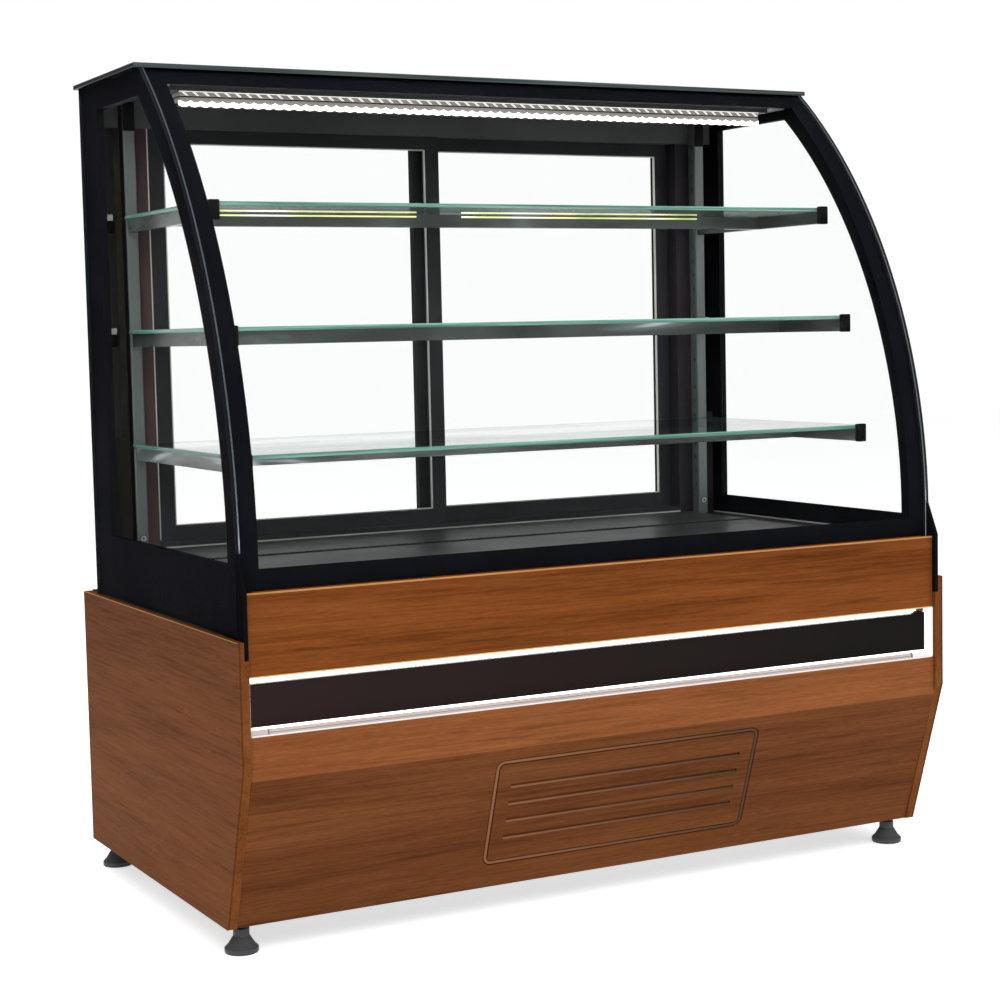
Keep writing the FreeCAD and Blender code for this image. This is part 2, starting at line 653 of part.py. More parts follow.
DOORS = (("left", -OPENING_X + 2, DOOR_LAP, NEAR_Y, -1), ("right", -DOOR_LAP, OPENING_X - 2, FAR_Y, 1))
for side, x0, x1, y, pull_side in DOORS:
    bars, pane, shoes = door(x0, x1, y, pull_side)
    save("door_%s_frame" % side, *bars)
    save("door_%s_glass" % side, pane)
    save("door_%s_glides" % side, *shoes)

# ======================= uprights and glass shelves =======================

SLOT_H = 14.0
SLOT_W = 4.0
NOTCH_H = 7.0


def shelf_top(i):
    return SHELF_TOP + i * SHELF_STEP


def slot_z(i):
    """Bottom of the slot that holds the hook of shelf i."""
    return shelf_top(i) - SHELF_GLASS - ARM_H + 1.0


def upright():
    """Right-hand upright: a channel with a hook slot at each shelf and a row of notches on its inner side."""
    x = UPRIGHT_X
    left = x - UPRIGHT_W / 2
    outer = box((left, x + UPRIGHT_W / 2), UPRIGHT_Y, (DECK_Z, UPRIGHT_TOP))
    outer = outer.makeFillet(2.5, [e for e in outer.Edges
                                   if e.Length > 100 and e.CenterOfMass.y < UPRIGHT_Y[0] + 1])
    inner = box((left + 2, x + UPRIGHT_W / 2 - 2), (UPRIGHT_Y[0] + 2, UPRIGHT_Y[1] + 1),
                (DECK_Z - 1, UPRIGHT_TOP + 1))
    cuts = [inner, cyl(2.2, 6, (x, UPRIGHT_Y[0] - 1, DECK_Z + 25), (0, 1, 0))]
    for i in range(len(SHELF_FRONTS)):
        z = slot_z(i)
        across = (x - SLOT_W / 2, x + SLOT_W / 2)
        cuts.append(box(across, (UPRIGHT_Y[0] - 1, UPRIGHT_Y[0] + 3), (z, z + SLOT_H)))
    z = slot_z(0) - 4 * SLOT_PITCH
    while z < UPRIGHT_TOP - 2 * SLOT_H:
        cuts.append(box((left - 1, left + 3), (UPRIGHT_Y[0] + 8, UPRIGHT_Y[0] + 13), (z, z + NOTCH_H)))
        z += SLOT_PITCH
    return outer.cut(cuts)


save("uprights", upright(), mirror_x(upright()))


def bracket_arm(i, x):
    bottom = shelf_top(i) - SHELF_GLASS - ARM_H
    front = SHELF_FRONTS[i] + CAP
    arm = box((x - ARM_W / 2, x + ARM_W / 2), (front, UPRIGHT_Y[0]), (bottom, bottom + ARM_H))
    hook = box((x - 1.5, x + 1.5), (UPRIGHT_Y[0] - 1, UPRIGHT_Y[0] + 6), (slot_z(i) + 0.2, slot_z(i) + 12))
    return fuse(arm, hook)


def end_cap(i, x):
    """Black cap over the arm's front end, with a lip that stops the glass."""
    bottom = shelf_top(i) - SHELF_GLASS - ARM_H
    cap = box((x - 8, x + 8), (SHELF_FRONTS[i], SHELF_FRONTS[i] + CAP), (bottom - 1, shelf_top(i) + 2))
    return cap.makeFillet(2.0, [e for e in cap.Edges if abs(e.tangentAt(e.FirstParameter).y) > 0.9])


caps = []
for i in range(len(SHELF_FRONTS)):
    bottom = shelf_top(i) - SHELF_GLASS - ARM_H
    rail_y = SHELF_FRONTS[i] + RAIL_BACK
    rail_end = UPRIGHT_X - ARM_W / 2
    rail = box((-rail_end, rail_end), (rail_y - RAIL_W / 2, rail_y + RAIL_W / 2), (bottom, bottom + ARM_H))
    save("shelf_bracket_%d" % (i + 1), bracket_arm(i, UPRIGHT_X), bracket_arm(i, -UPRIGHT_X), rail)
    save("shelf_glass_%d" % (i + 1), box((-SHELF_X, SHELF_X), (SHELF_FRONTS[i] + CAP + 0.3, UPRIGHT_Y[0] - 2),
                                         (shelf_top(i) - SHELF_GLASS, shelf_top(i))))
    caps += [end_cap(i, UPRIGHT_X), end_cap(i, -UPRIGHT_X)]
save("shelf_end_caps", *caps)

# ======================= rear panel, controls and screws =======================

PANEL_BACK = (REAR_Y, REAR_Y + SHEET)
CONTROL_X = (-560.0, -330.0)
CONTROL_Z = (345.0, 425.0)
CONTROL_FACE = PANEL_BACK[1] + 2.5
SWITCH_AT = (-520.0, 385.0)
BUTTON_AT = (-372.0, 385.0)
BUTTON_R = 4.0
GLAND_AT = (-520.0, 120.0)


def rear_panel():
    sheet = box((-INNER_X, INNER_X), PANEL_BACK, (60.0, BASE_TOP))
    ledge = box((-INNER_X, INNER_X), (SLAB_Y[1] + 1, PANEL_BACK[1]), (BASE_TOP, BASE_TOP + SHEET))
    cuts = [box((x, x + 180), (REAR_Y - 1, REAR_Y + 3), (z, z + 7))
            for x in (-290.0, -90.0, 110.0, 310.0) for z in range(110, 320, 22)]
    cuts.append(box((CONTROL_X[0] + 6, CONTROL_X[1] - 6), (REAR_Y - 1, REAR_Y + 3),
                    (CONTROL_Z[0] + 6, CONTROL_Z[1] - 6)))
    cuts.append(cyl(10.0, 6, (GLAND_AT[0], REAR_Y - 2, GLAND_AT[1]), (0, 1, 0)))
    return fuse(sheet, ledge).cut(cuts)


def control_panel():
    plate = box(CONTROL_X, (PANEL_BACK[1], CONTROL_FACE), CONTROL_Z)
    plate = plate.makeFillet(1.5, [e for e in plate.Edges if abs(e.tangentAt(e.FirstParameter).y) > 0.9])
    pod = box((BUTTON_AT[0] - 78, BUTTON_AT[0] + 14), (REAR_Y - 30, PANEL_BACK[1]), (367.0, 403.0))
    pod = fuse(pod, box((BUTTON_AT[0] - 80, BUTTON_AT[0] + 16), (CONTROL_FACE, CONTROL_FACE + 2),
                        (BUTTON_AT[1] - 20, BUTTON_AT[1] + 20)))
    display = box((BUTTON_AT[0] - 72, BUTTON_AT[0] - 22), (CONTROL_FACE + 1, CONTROL_FACE + 3),
                  (BUTTON_AT[1] - 13, BUTTON_AT[1] + 13))
    switch_gap = box((SWITCH_AT[0] - 10.6, SWITCH_AT[0] + 10.6), (REAR_Y - 30, REAR_Y + 20),
                     (SWITCH_AT[1] - 15.6, SWITCH_AT[1] + 15.6))
    button_gap = cyl(BUTTON_R + 0.3, 30, (BUTTON_AT[0], CONTROL_FACE - 8, BUTTON_AT[1]), (0, 1, 0))
    return fuse(plate, pod).cut([display, switch_gap, button_gap])


def rocker():
    half_w, half_h = 10.0, 15.0
    y = CONTROL_FACE
    outline = [(y - 9, -half_h + 6), (y - 9, half_h - 6), (y + 0.5, half_h), (y - 1.2, 0), (y + 0.5, -half_h)]
    wire = Part.makePolygon([V(SWITCH_AT[0] - half_w, py, SWITCH_AT[1] + pz) for py, pz in outline + outline[:1]])
    return Part.Face(wire).extrude(V(2 * half_w, 0, 0))


save("rear_panel", rear_panel())
save("control_panel", control_panel())
save("light_switch", rocker())
save("thermostat_button", cyl(BUTTON_R, 7.5, (BUTTON_AT[0], CONTROL_FACE - 4.5, BUTTON_AT[1]), (0, 1, 0)))
gland = fuse(cyl(9.8, 12, (GLAND_AT[0], REAR_Y - 8, GLAND_AT[1]), (0, 1, 0)),
             cyl(13.0, 3, (GLAND_AT[0], PANEL_BACK[1], GLAND_AT[1]), (0, 1, 0)))
save("cable_gland", gland.cut(cyl(4.0, 40, (GLAND_AT[0], REAR_Y - 20, GLAND_AT[1]), (0, 1, 0))))


def screw(x, z, y, out, shank):
    """Pan-head screw: head outside the face at y, with any free shank behind it."""
    head = cyl(4.5, 2.4, (x, y, z), (0, out, 0))
    return fuse(head, cyl(2.0, shank, (x, y, z), (0, -out, 0))) if shank else head


screws = [screw(sx * UPRIGHT_X, DECK_Z + 25, UPRIGHT_Y[0], -1, 1.9) for sx in (-1, 1)]
screws += [screw(sx * 572.0, z, PANEL_BACK[1], 1, 0) for sx in (-1, 1) for z in (90.0, 200.0, 310.0, 436.0)]
save("fixing_screws", *screws)
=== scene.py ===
"""Looks of the curved glass display showcase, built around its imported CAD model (metres, +Z up)."""
import math

import bmesh
import bpy
from mathutils import Matrix, Vector


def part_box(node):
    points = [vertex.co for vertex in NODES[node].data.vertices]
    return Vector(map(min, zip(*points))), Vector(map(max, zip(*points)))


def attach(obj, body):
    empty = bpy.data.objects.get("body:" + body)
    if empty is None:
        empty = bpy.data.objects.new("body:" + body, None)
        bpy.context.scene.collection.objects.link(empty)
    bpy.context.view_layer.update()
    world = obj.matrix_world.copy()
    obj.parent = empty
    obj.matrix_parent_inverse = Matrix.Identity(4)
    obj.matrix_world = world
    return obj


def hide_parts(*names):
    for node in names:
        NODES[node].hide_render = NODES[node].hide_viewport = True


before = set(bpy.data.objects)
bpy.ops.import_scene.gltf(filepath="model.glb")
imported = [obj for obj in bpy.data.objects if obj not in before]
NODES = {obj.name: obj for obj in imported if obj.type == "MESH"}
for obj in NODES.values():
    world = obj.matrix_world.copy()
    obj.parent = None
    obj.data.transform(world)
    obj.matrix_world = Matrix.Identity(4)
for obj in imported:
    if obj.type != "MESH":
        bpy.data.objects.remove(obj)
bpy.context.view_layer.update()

# ---- sizes of the CAD model ----
SIDE_PANE_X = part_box("side_glass_right")[0].x   # inner face of a side pane, from the middle
FRONT_GLASS_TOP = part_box("front_glass")[1].z
ARC_Y, ARC_Z, ARC_R = 0.587, 0.545, 0.915      # centre and radius of the curved front
SHELVES = (1, 2, 3)
UPRIGHT_X = 0.5425      # outer side of the uprights, from the middle

# ---- how strongly glass bends and mirrors light ----
WINDOW_IOR = 1.005      # coated windows that hardly mirror their surroundings
SHELF_IOR = 1.2


# ======================= small helpers =======================

def arc_point(radius, angle):
    """Point (y, z) of the curved front, angle 0 at its foot and growing upwards."""
    return ARC_Y - radius * math.cos(angle), ARC_Z + radius * math.sin(angle)


def new_object(name, bm, materials, smooth=False):
    mesh = bpy.data.meshes.new(name)
    bmesh.ops.recalc_face_normals(bm, faces=bm.faces)
    bm.to_mesh(mesh)
    bm.free()
    for material in materials:
        mesh.materials.append(material)
    if smooth:
        for polygon in mesh.polygons:
            polygon.use_smooth = True
    obj = bpy.data.objects.new(name, mesh)
    bpy.context.scene.collection.objects.link(obj)
    return obj


def add_box(bm, lo, hi, bevel=0.0, segments=2):
    """Adds a box to bm, with its edges rounded."""
    verts = bmesh.ops.create_cube(bm, size=1.0)["verts"]
    for v in verts:
        v.co = Vector((lo[i] if v.co[i] < 0 else hi[i] for i in range(3)))
    if bevel:
        faces = {f for v in verts for f in v.link_faces}
        edges = list({e for f in faces for e in f.edges})
        bmesh.ops.bevel(bm, geom=edges, offset=bevel, segments=segments, affect="EDGES", profile=0.5)


def add_prism(bm, near, far):
    """Closes the space between two outlines of as many points: both ends, then the sides."""
    near = [bm.verts.new(point) for point in near]
    far = [bm.verts.new(point) for point in far]
    bm.faces.new(near)
    bm.faces.new(far)
    for k in range(len(near)):
        after = (k + 1) % len(near)
        bm.faces.new((near[k], near[after], far[after], far[k]))


def mirrored(lo, hi):
    """The box given by its corners, and its mirror image on the other side of the middle."""
    return [(lo, hi), ((-hi[0], lo[1], lo[2]), (-lo[0], hi[1], hi[2]))]


def boxes(name, spans, material, body, bevel=0.0):
    """One piece made of several bars, each given as its low and high corner."""
    bm = bmesh.new()
    for lo, hi in spans:
        add_box(bm, lo, hi, bevel, 1)
    return finish_piece(new_object(name, bm, [material]), body)


def finish_piece(obj, body, replaced=()):
    """Puts a piece on its body, in place of the replaced nodes if there are any."""
    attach(obj, body)
    if replaced:
        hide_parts(*replaced)
    return obj


# ======================= materials =======================

class Nodes:
    """A material's node tree, with its Principled shader and short calls for the nodes that feed it."""

    def __init__(self, name, **sockets):
        self.material = bpy.data.materials.new(name)
        self.material.use_nodes = True
        self.tree = self.material.node_tree
        self.shader = self.tree.nodes["Principled BSDF"]
        self.out = self.tree.nodes["Material Output"]
        for socket, value in sockets.items():
            self.shader.inputs[socket.replace("_", " ")].default_value = value

    def add(self, kind, **settings):
        node = self.tree.nodes.new(kind)
        for key, value in settings.items():
            setattr(node, key, value)
        return node

    def link(self, source, target):
        self.tree.links.new(source, target)
        return target

    def coords(self, scale):
        """Object coordinates, scaled per axis. The row frame's metres."""
        source = self.add("ShaderNodeTexCoord").outputs["Object"]
        mapping = self.add("ShaderNodeMapping")
        mapping.inputs["Scale"].default_value = scale
        self.link(source, mapping.inputs["Vector"])
        return mapping.outputs["Vector"]

    def place(self):
        """Object coordinates, apart: outputs X, Y and Z."""
        node = self.add("ShaderNodeSeparateXYZ")
        self.link(self.add("ShaderNodeTexCoord").outputs["Object"], node.inputs[0])
        return node.outputs

    def noise(self, scale, size=1.0, detail=4.0, rough=0.5, distortion=0.0):
        node = self.add("ShaderNodeTexNoise")
        self.link(self.coords(scale), node.inputs["Vector"])
        node.inputs["Scale"].default_value = size
        node.inputs["Detail"].default_value = detail
        node.inputs["Roughness"].default_value = rough
        node.inputs["Distortion"].default_value = distortion
        return node.outputs["Fac"]

    def ramp(self, fac, stops):
        node = self.add("ShaderNodeValToRGB")
        elements = node.color_ramp.elements
        while len(elements) < len(stops):
            elements.new(0.5)
        for element, (place, colour) in zip(elements, stops):
            element.position = place
            element.color = (*colour, 1.0)
        self.link(fac, node.inputs["Fac"])
        return node.outputs["Color"]

    def mix(self, fac, a, b, blend="MIX"):
        node = self.add("ShaderNodeMix", data_type="RGBA", blend_type=blend)
        for socket, value in (("Factor", fac), ("A", a), ("B", b)):
            self.put(value, node.inputs[socket])
        return node.outputs["Result"]

    def put(self, value, socket):
        if isinstance(value, bpy.types.NodeSocket):
            self.link(value, socket)
        elif isinstance(value, tuple):
            socket.default_value = (*value, 1.0) if len(value) == 3 else value
        else:
            socket.default_value = value

    def math(self, operation, a, b=0.0):
        node = self.add("ShaderNodeMath", operation=operation)
        for socket, value in zip(node.inputs, (a, b)):
            self.put(value, socket)
        return node.outputs["Value"]

    def span(self, value, low, high, to_low, to_high):
        node = self.add("ShaderNodeMapRange")
        for socket, item in zip(node.inputs, (value, low, high, to_low, to_high)):
            self.put(item, socket)
        return node.outputs["Result"]

    def bump(self, height, strength, distance):
        node = self.add("ShaderNodeBump")
        node.inputs["Strength"].default_value = strength
        node.inputs["Distance"].default_value = distance
        self.link(height, node.inputs["Height"])
        self.link(node.outputs["Normal"], self.shader.inputs["Normal"])

    def colour(self, value):
        self.put(value, self.shader.inputs["Base Color"])

    def roughness(self, value):
        self.put(value, self.shader.inputs["Roughness"])


def along(axis, length_scale, cross_scale):
    """Noise scale of a grain that runs along the axis: its own there, another one across."""
    return tuple(length_scale if i == axis else cross_scale for i in range(3))


ROUNDING_SHADE_LINE = 0.5965, 0.5993      # painted shade line where the side panels' front edges round over, as distances from the middle


def wood(name, axis, tones, rounding_shade=False):
    """Walnut laminate with its grain along the given axis. tones: dark, middle and light."""
    m = Nodes(name, Specular_IOR_Level=0.025)
    boards = m.noise(along(axis, 0.05, 3.4), 1.0, 1.0, 0.4)
    broad = m.noise(along(axis, 0.9, 14.0), 1.0, 5.0, 0.6, 1.2)
    fibres = m.noise(along(axis, 7.0, 260.0), 1.0, 5.0, 0.65, 0.3)
    streaks = m.noise(along(axis, 5.0, 170.0), 1.0, 3.0, 0.5, 0.6)
    pores = m.noise(along(axis, 55.0, 1500.0), 1.0, 2.0, 0.6)
    grain = m.math("ADD", m.math("MULTIPLY", broad, 0.55), m.math("MULTIPLY", fibres, 0.45))
    colour = m.ramp(grain, [(0.36, tones[0]), (0.5, tones[1]), (0.64, tones[2])])
    colour = m.mix(1.0, colour, m.span(boards, 0.44, 0.50, 0.93, 1.07), "MULTIPLY")
    colour = m.mix(1.0, colour, m.span(streaks, 0.30, 0.42, 0.74, 1.0), "MULTIPLY")
    colour = m.mix(1.0, colour, m.span(pores, 0.35, 0.6, 0.80, 1.04), "MULTIPLY")
    # painted shade: a dark line where the panel's front edge rounds over
    if rounding_shade:
        side = m.math("ABSOLUTE", m.place()["X"])
        line = m.math("MULTIPLY", m.math("GREATER_THAN", side, ROUNDING_SHADE_LINE[0]),
                      m.math("LESS_THAN", side, ROUNDING_SHADE_LINE[1]))
        colour = m.mix(m.math("MULTIPLY", line, 0.45), colour, (0.03, 0.012, 0.004))
    m.colour(colour)
    m.roughness(m.span(fibres, 0.3, 0.7, 0.6, 0.45))
    m.bump(pores, 0.12, 0.0004)
    return m.material


def lacquer(name, colour, rough, coat=0.0, speck=0.15, gloss=0.04):
    """Painted or moulded surface: faint cloudy tone, orange-peel bump, uneven gloss."""
    m = Nodes(name, Coat_Weight=coat, Coat_Roughness=0.08, Specular_IOR_Level=gloss)
    cloud = m.noise((1.0, 1.0, 1.0), 6.0, 3.0)
    darker = tuple(c * (1 - speck) for c in colour)
    lighter = tuple(min(1.0, c * (1 + speck)) for c in colour)
    m.colour(m.ramp(cloud, [(0.3, darker), (0.7, lighter)]))
    peel = m.noise((1.0, 1.0, 1.0), 900.0, 2.0)
    m.roughness(m.span(cloud, 0.3, 0.7, rough * 0.85, min(1.0, rough * 1.15)))
    m.bump(peel, 0.06, 0.0003)
    return m.material


def brushed(name, colour, rough, axis, metallic=0.9):
    """Metal with fine lines along the given axis."""
    m = Nodes(name, Metallic=metallic)
    lines = m.noise(along(axis, 6.0, 1400.0), 1.0, 3.0, 0.6)
    cloud = m.noise((1.0, 1.0, 1.0), 9.0, 3.0)
    darker = tuple(c * 0.8 for c in colour)
    lighter = tuple(min(1.0, c * 1.15) for c in colour)
    m.colour(m.ramp(m.math("ADD", m.math("MULTIPLY", lines, 0.6), m.math("MULTIPLY", cloud, 0.4)),
                    [(0.35, darker), (0.65, lighter)]))
    m.roughness(m.span(lines, 0.3, 0.7, rough * 0.8, rough * 1.2))
    m.bump(lines, 0.08, 0.0002)
    return m.material


def see_through(m, tint):
    """Ends a glass material: lamps shine through it instead of casting a black shadow."""
    light_path = m.add("ShaderNodeLightPath")
    clear = m.add("ShaderNodeBsdfTransparent")
    clear.inputs["Color"].default_value = (*(c ** 0.5 for c in tint), 1.0)
    mixer = m.add("ShaderNodeMixShader")
    m.link(light_path.outputs["Is Shadow Ray"], mixer.inputs[0])
    m.link(m.shader.outputs["BSDF"], mixer.inputs[1])
    m.link(clear.outputs["BSDF"], mixer.inputs[2])
    m.link(mixer.outputs["Shader"], m.out.inputs["Surface"])
    return m.material


def clear_glass(name, tint):
    """Coated window glass, with little reflection."""
    m = Nodes(name, Transmission_Weight=1.0, IOR=WINDOW_IOR, Roughness=0.0)
    film = m.noise((1.0, 1.0, 1.0), 3.0, 2.0)
    m.colour(m.ramp(film, [(0.2, tuple(c * 0.992 for c in tint)), (0.8, tint)]))
    return see_through(m, tint)


def streaked_glass(name, tint):
    """Shelf glass, with long dark green and grey streaks painted into its colour: painted reflections of
    the canopy.
    """
    m = Nodes(name, Transmission_Weight=1.0, IOR=SHELF_IOR, Roughness=0.0)
    streak = m.noise((2.2, 17.0, 1.0), 1.0, 4.0, 0.6, 0.5)
    tone = m.noise((4.0, 30.0, 1.0), 1.0, 2.0)
    dark = m.ramp(tone, [(0.40, (0.30, 0.48, 0.42)), (0.60, (0.50, 0.46, 0.42))])
    m.colour(m.mix(m.span(streak, 0.44, 0.50, 0.0, 1.0), dark, tint))
    return see_through(m, tint)


def glass_edge(name, dark, light):
    """Ground and polished edge of float glass: green, brighter in streaks along the edge, with a faint
    painted glow.
    """
    m = Nodes(name, Specular_IOR_Level=0.3, Emission_Strength=0.05)
    streak = m.noise((3.0, 3.0, 260.0), 1.0, 3.0)
    tone = m.ramp(streak, [(0.35, dark), (0.65, light)])
    m.colour(tone)
    # painted glow: the edge's tone is also its emission
    m.link(tone, m.shader.inputs["Emission Color"])
    m.roughness(m.span(streak, 0.3, 0.7, 0.12, 0.25))
    return m.material


def painted_grille_highlight(name, left, right):
    """Painted highlight on the lit wood edges of the grille, brighter at the left end than at its right
    end.
    """
    m = Nodes(name, Specular_IOR_Level=0.03)
    place = m.place()
    grain = m.noise((9.0, 200.0, 200.0), 1.0, 3.0)
    # painted highlight, brighter to the left
    fade = m.math("ADD", m.span(place["X"], -0.21, 0.25, 0.0, 0.8), m.math("MULTIPLY", grain, 0.2))
    m.colour(m.ramp(fade, [(0.15, left), (0.85, right)]))
    m.roughness(m.span(grain, 0.3, 0.7, 0.5, 0.6))
    return m.material


def rail_painted_reflections(name):
    """Polished rail: mostly dark, with painted reflections as light patches along its length."""
    m = Nodes(name, Specular_IOR_Level=0.25)
    patch = m.noise((2.6, 1.5, 9.0), 1.0, 3.0, 0.55, 0.8)
    # painted reflections: light patches along the dark rail
    m.colour(m.ramp(patch, [(0.30, (0.016, 0.019, 0.018)), (0.52, (0.045, 0.052, 0.049)),
                            (0.60, (0.10, 0.11, 0.115)), (0.63, (0.42, 0.43, 0.46))]))
    m.roughness(m.span(patch, 0.3, 0.7, 0.25, 0.15))
    return m.material


def rail_glint(name):
    """Mirrored lamp line: green-gold with white spots."""
    m = Nodes(name, Emission_Strength=0.35, Roughness=0.3)
    spot = m.noise((7.0, 1.0, 1.0), 1.0, 2.0)
    tone = m.ramp(spot, [(0.36, (0.42, 0.50, 0.12)), (0.50, (0.80, 0.78, 0.32)),
                         (0.62, (1.0, 1.0, 0.95))])
    m.colour(tone)
    m.link(tone, m.shader.inputs["Emission Color"])
    return m.material


def post_paint_and_light(name):
    """Dark frame paint with painted light: olive outside the left post, brown on the lit left post, near
    black on the right post.
    """
    m = Nodes(name, Specular_IOR_Level=0.04)
    place = m.place()
    cloud = m.noise((1.0, 1.0, 1.0), 5.0, 3.0)
    # painted light: the left post brown and lit, the right post near black, olive outside the left post
    side = m.span(place["X"], -0.1, 0.1, 0.0, 1.0)
    side = m.math("ADD", m.math("MULTIPLY", side, 0.85), m.math("MULTIPLY", cloud, 0.15))
    paint = m.ramp(side, [(0.05, (0.056, 0.036, 0.036)), (0.95, (0.021, 0.0185, 0.022))])
    outside = m.math("LESS_THAN", place["X"], -UPRIGHT_X)
    m.colour(m.mix(outside, paint, (0.0165, 0.0155, 0.0125)))
    m.roughness(m.span(cloud, 0.3, 0.7, 0.45, 0.55))
    return m.material


def glowing(name, colour, strength):
    """Glowing plastic, a little uneven: the lamps' diffusers, and a painted glow on pieces that they
    light.
    """
    m = Nodes(name, Emission_Strength=strength, Roughness=0.4)
    cloud = m.noise((1.0, 1.0, 1.0), 30.0, 2.0)
    warm = tuple(c * 0.97 for c in colour)
    tone = m.ramp(cloud, [(0.3, warm), (0.7, colour)])
    m.colour(tone)
    m.link(tone, m.shader.inputs["Emission Color"])
    return m.material


# limits of the opening in a side pane's edge frame: in from the arc, height, height, depth
OPENING = {"arc": 0.0455, "top": 1.2105, "foot": 0.5475, "rear": 0.20}


def printed_edge(name):
    """Black edge frame behind the side glass, lighter where it faces the window's opening."""
    m = Nodes(name, Specular_IOR_Level=0.0)
    place = m.place()
    y, z = place["Y"], place["Z"]
    dy, dz = m.math("SUBTRACT", y, ARC_Y), m.math("SUBTRACT", z, ARC_Z)
    radius = m.math("SQRT", m.math("ADD", m.math("MULTIPLY", dy, dy), m.math("MULTIPLY", dz, dz)))
    window = m.math("LESS_THAN", radius, ARC_R - OPENING["arc"])
    for operation, value, limit in (("LESS_THAN", z, OPENING["top"]), ("GREATER_THAN", z, OPENING["foot"]),
                                    ("LESS_THAN", y, OPENING["rear"])):
        window = m.math("MULTIPLY", window, m.math(operation, value, limit))
    cloud = m.noise((1.0, 1.0, 1.0), 5.0, 2.0)
    black = m.ramp(cloud, [(0.3, (0.0045, 0.0045, 0.006)), (0.7, (0.008, 0.008, 0.010))])
    m.colour(m.mix(window, black, (0.035, 0.040, 0.048)))
    m.roughness(m.span(cloud, 0.3, 0.7, 0.2, 0.3))
    return m.material


def strip_black(name):
    """Gloss black sheet, brown in the glow at its left end and neutral at its right end."""
    m = Nodes(name, Specular_IOR_Level=0.03)
    place = m.place()
    cloud = m.math("MULTIPLY", m.noise((1.0, 1.0, 1.0), 4.0, 2.0), 0.12)
    fade = m.math("ADD", m.span(place["X"], -0.58, 0.58, 0.0, 0.9), cloud)
    m.colour(m.ramp(fade, [(0.05, (0.026, 0.0155, 0.0145)), (0.95, (0.0095, 0.0088, 0.0085))]))
    m.roughness(m.span(cloud, 0.03, 0.09, 0.28, 0.36))
    return m.material


WOOD_FASCIA = wood("wood_fascia", 0,
                   ((0.118, 0.032, 0.0068), (0.190, 0.055, 0.0122), (0.240, 0.072, 0.0168)))
WOOD_BAND = wood("wood_band", 0,
                 ((0.175, 0.057, 0.018), (0.252, 0.084, 0.0275), (0.300, 0.104, 0.035)))
WOOD_LOWER = wood("wood_lower", 0,
                  ((0.098, 0.032, 0.0098), (0.152, 0.051, 0.0165), (0.190, 0.066, 0.022)))
WOOD_SIDE = wood("wood_side", 1,
                 ((0.132, 0.041, 0.0100), (0.182, 0.058, 0.0155), (0.218, 0.073, 0.020)), True)
# painted highlights: light orange strips for the lit top edges of the fascia and side panels, and a
# brighter one for the fascia's lower edge in the recess glow
WOOD_EDGE_HIGHLIGHT = lacquer("wood_edge_highlight", (0.50, 0.23, 0.075), 0.5)
WOOD_GLOW_HIGHLIGHT = lacquer("wood_glow_highlight", (0.85, 0.45, 0.13), 0.5)
CLEAR = clear_glass("glass_clear", (0.985, 0.995, 0.99))
DOOR_GLASS = clear_glass("glass_door", (0.985, 0.995, 0.99))
SHELF_CLEAR = streaked_glass("glass_shelf", (0.95, 0.985, 0.97))
SHELF_EDGE = glass_edge("glass_shelf_edge", (0.035, 0.105, 0.082), (0.13, 0.26, 0.21))
PANE_EDGE = lacquer("pane_edge", (0.010, 0.012, 0.014), 0.2, gloss=0.1)
TOP_EDGE = glass_edge("glass_top_edge", (0.030, 0.044, 0.043), (0.082, 0.112, 0.106))
TOP_SIDE = lacquer("top_side", (0.012, 0.017, 0.018), 0.2, gloss=0.4)
TOP_BLACK = lacquer("top_black", (0.010, 0.010, 0.012), 0.12, gloss=0.5)
PRINT_SIDE = printed_edge("print_side")
PRINT_FRONT = lacquer("print_front", (0.0038, 0.0042, 0.0056), 0.25, gloss=0.0)
BLACK_STRIP = strip_black("black_strip")
BLACK_FRAME = lacquer("black_frame", (0.024, 0.024, 0.026), 0.45)
REAR_POST_PAINTED_LIGHT = post_paint_and_light("rear_post")
BEAM_GREY = lacquer("beam_grey", (0.072, 0.072, 0.073), 0.5)
GREY_METAL = brushed("grey_metal", (0.072, 0.086, 0.083), 0.45, 2, metallic=0.2)
ARM_REFLECTIONS = rail_painted_reflections("arm_painted_reflections")
GLINT = rail_glint("rail_glint")
# painted highlight: the bright silver of the corner beads
SILVER_HIGHLIGHT = brushed("silver_edge_highlight", (0.50, 0.54, 0.60), 0.3, 2)
# pale metal, also the colour of painted highlight lines and strips
PALE_METAL_AND_HIGHLIGHTS = brushed("pale_metal_and_highlights", (0.42, 0.42, 0.38), 0.35, 0, metallic=0.5)
DARK_METAL = brushed("dark_metal", (0.045, 0.046, 0.05), 0.45, 0, metallic=0.4)
MATTE_BLACK = lacquer("matte_black", (0.006, 0.006, 0.006), 0.5)
FOOT_BLACK = lacquer("foot_black", (0.070, 0.072, 0.076), 0.35, gloss=0.3)
GREY_PLASTIC = lacquer("grey_plastic", (0.42, 0.43, 0.44), 0.5)
WHITE_PAINT = lacquer("white_paint", (0.86, 0.85, 0.83), 0.4, speck=0.02)
LEDGE_PINK = lacquer("ledge_pink", (0.60, 0.50, 0.48), 0.4, speck=0.05)
LEDGE_DARK = lacquer("ledge_dark", (0.22, 0.17, 0.17), 0.4)
GRILLE_HIGHLIGHT = painted_grille_highlight("grille_highlight", (0.27, 0.118, 0.056), (0.10, 0.055, 0.036))
OLIVE = lacquer("olive", (0.13, 0.09, 0.03), 0.5)
LAMP_GREY = lacquer("lamp_grey", (0.36, 0.33, 0.315), 0.4, speck=0.08)
CANOPY = brushed("canopy", (0.28, 0.28, 0.29), 0.35, 0, metallic=0.1)
RECESS_GLOW = glowing("recess_glow", (1.0, 0.985, 0.96), 2.6)
PAINTED_END_GLOW = glowing("painted_end_glow", (1.0, 0.95, 0.92), 0.75)
LED_GLOW = glowing("led_glow", (1.0, 0.98, 0.94), 2.2)
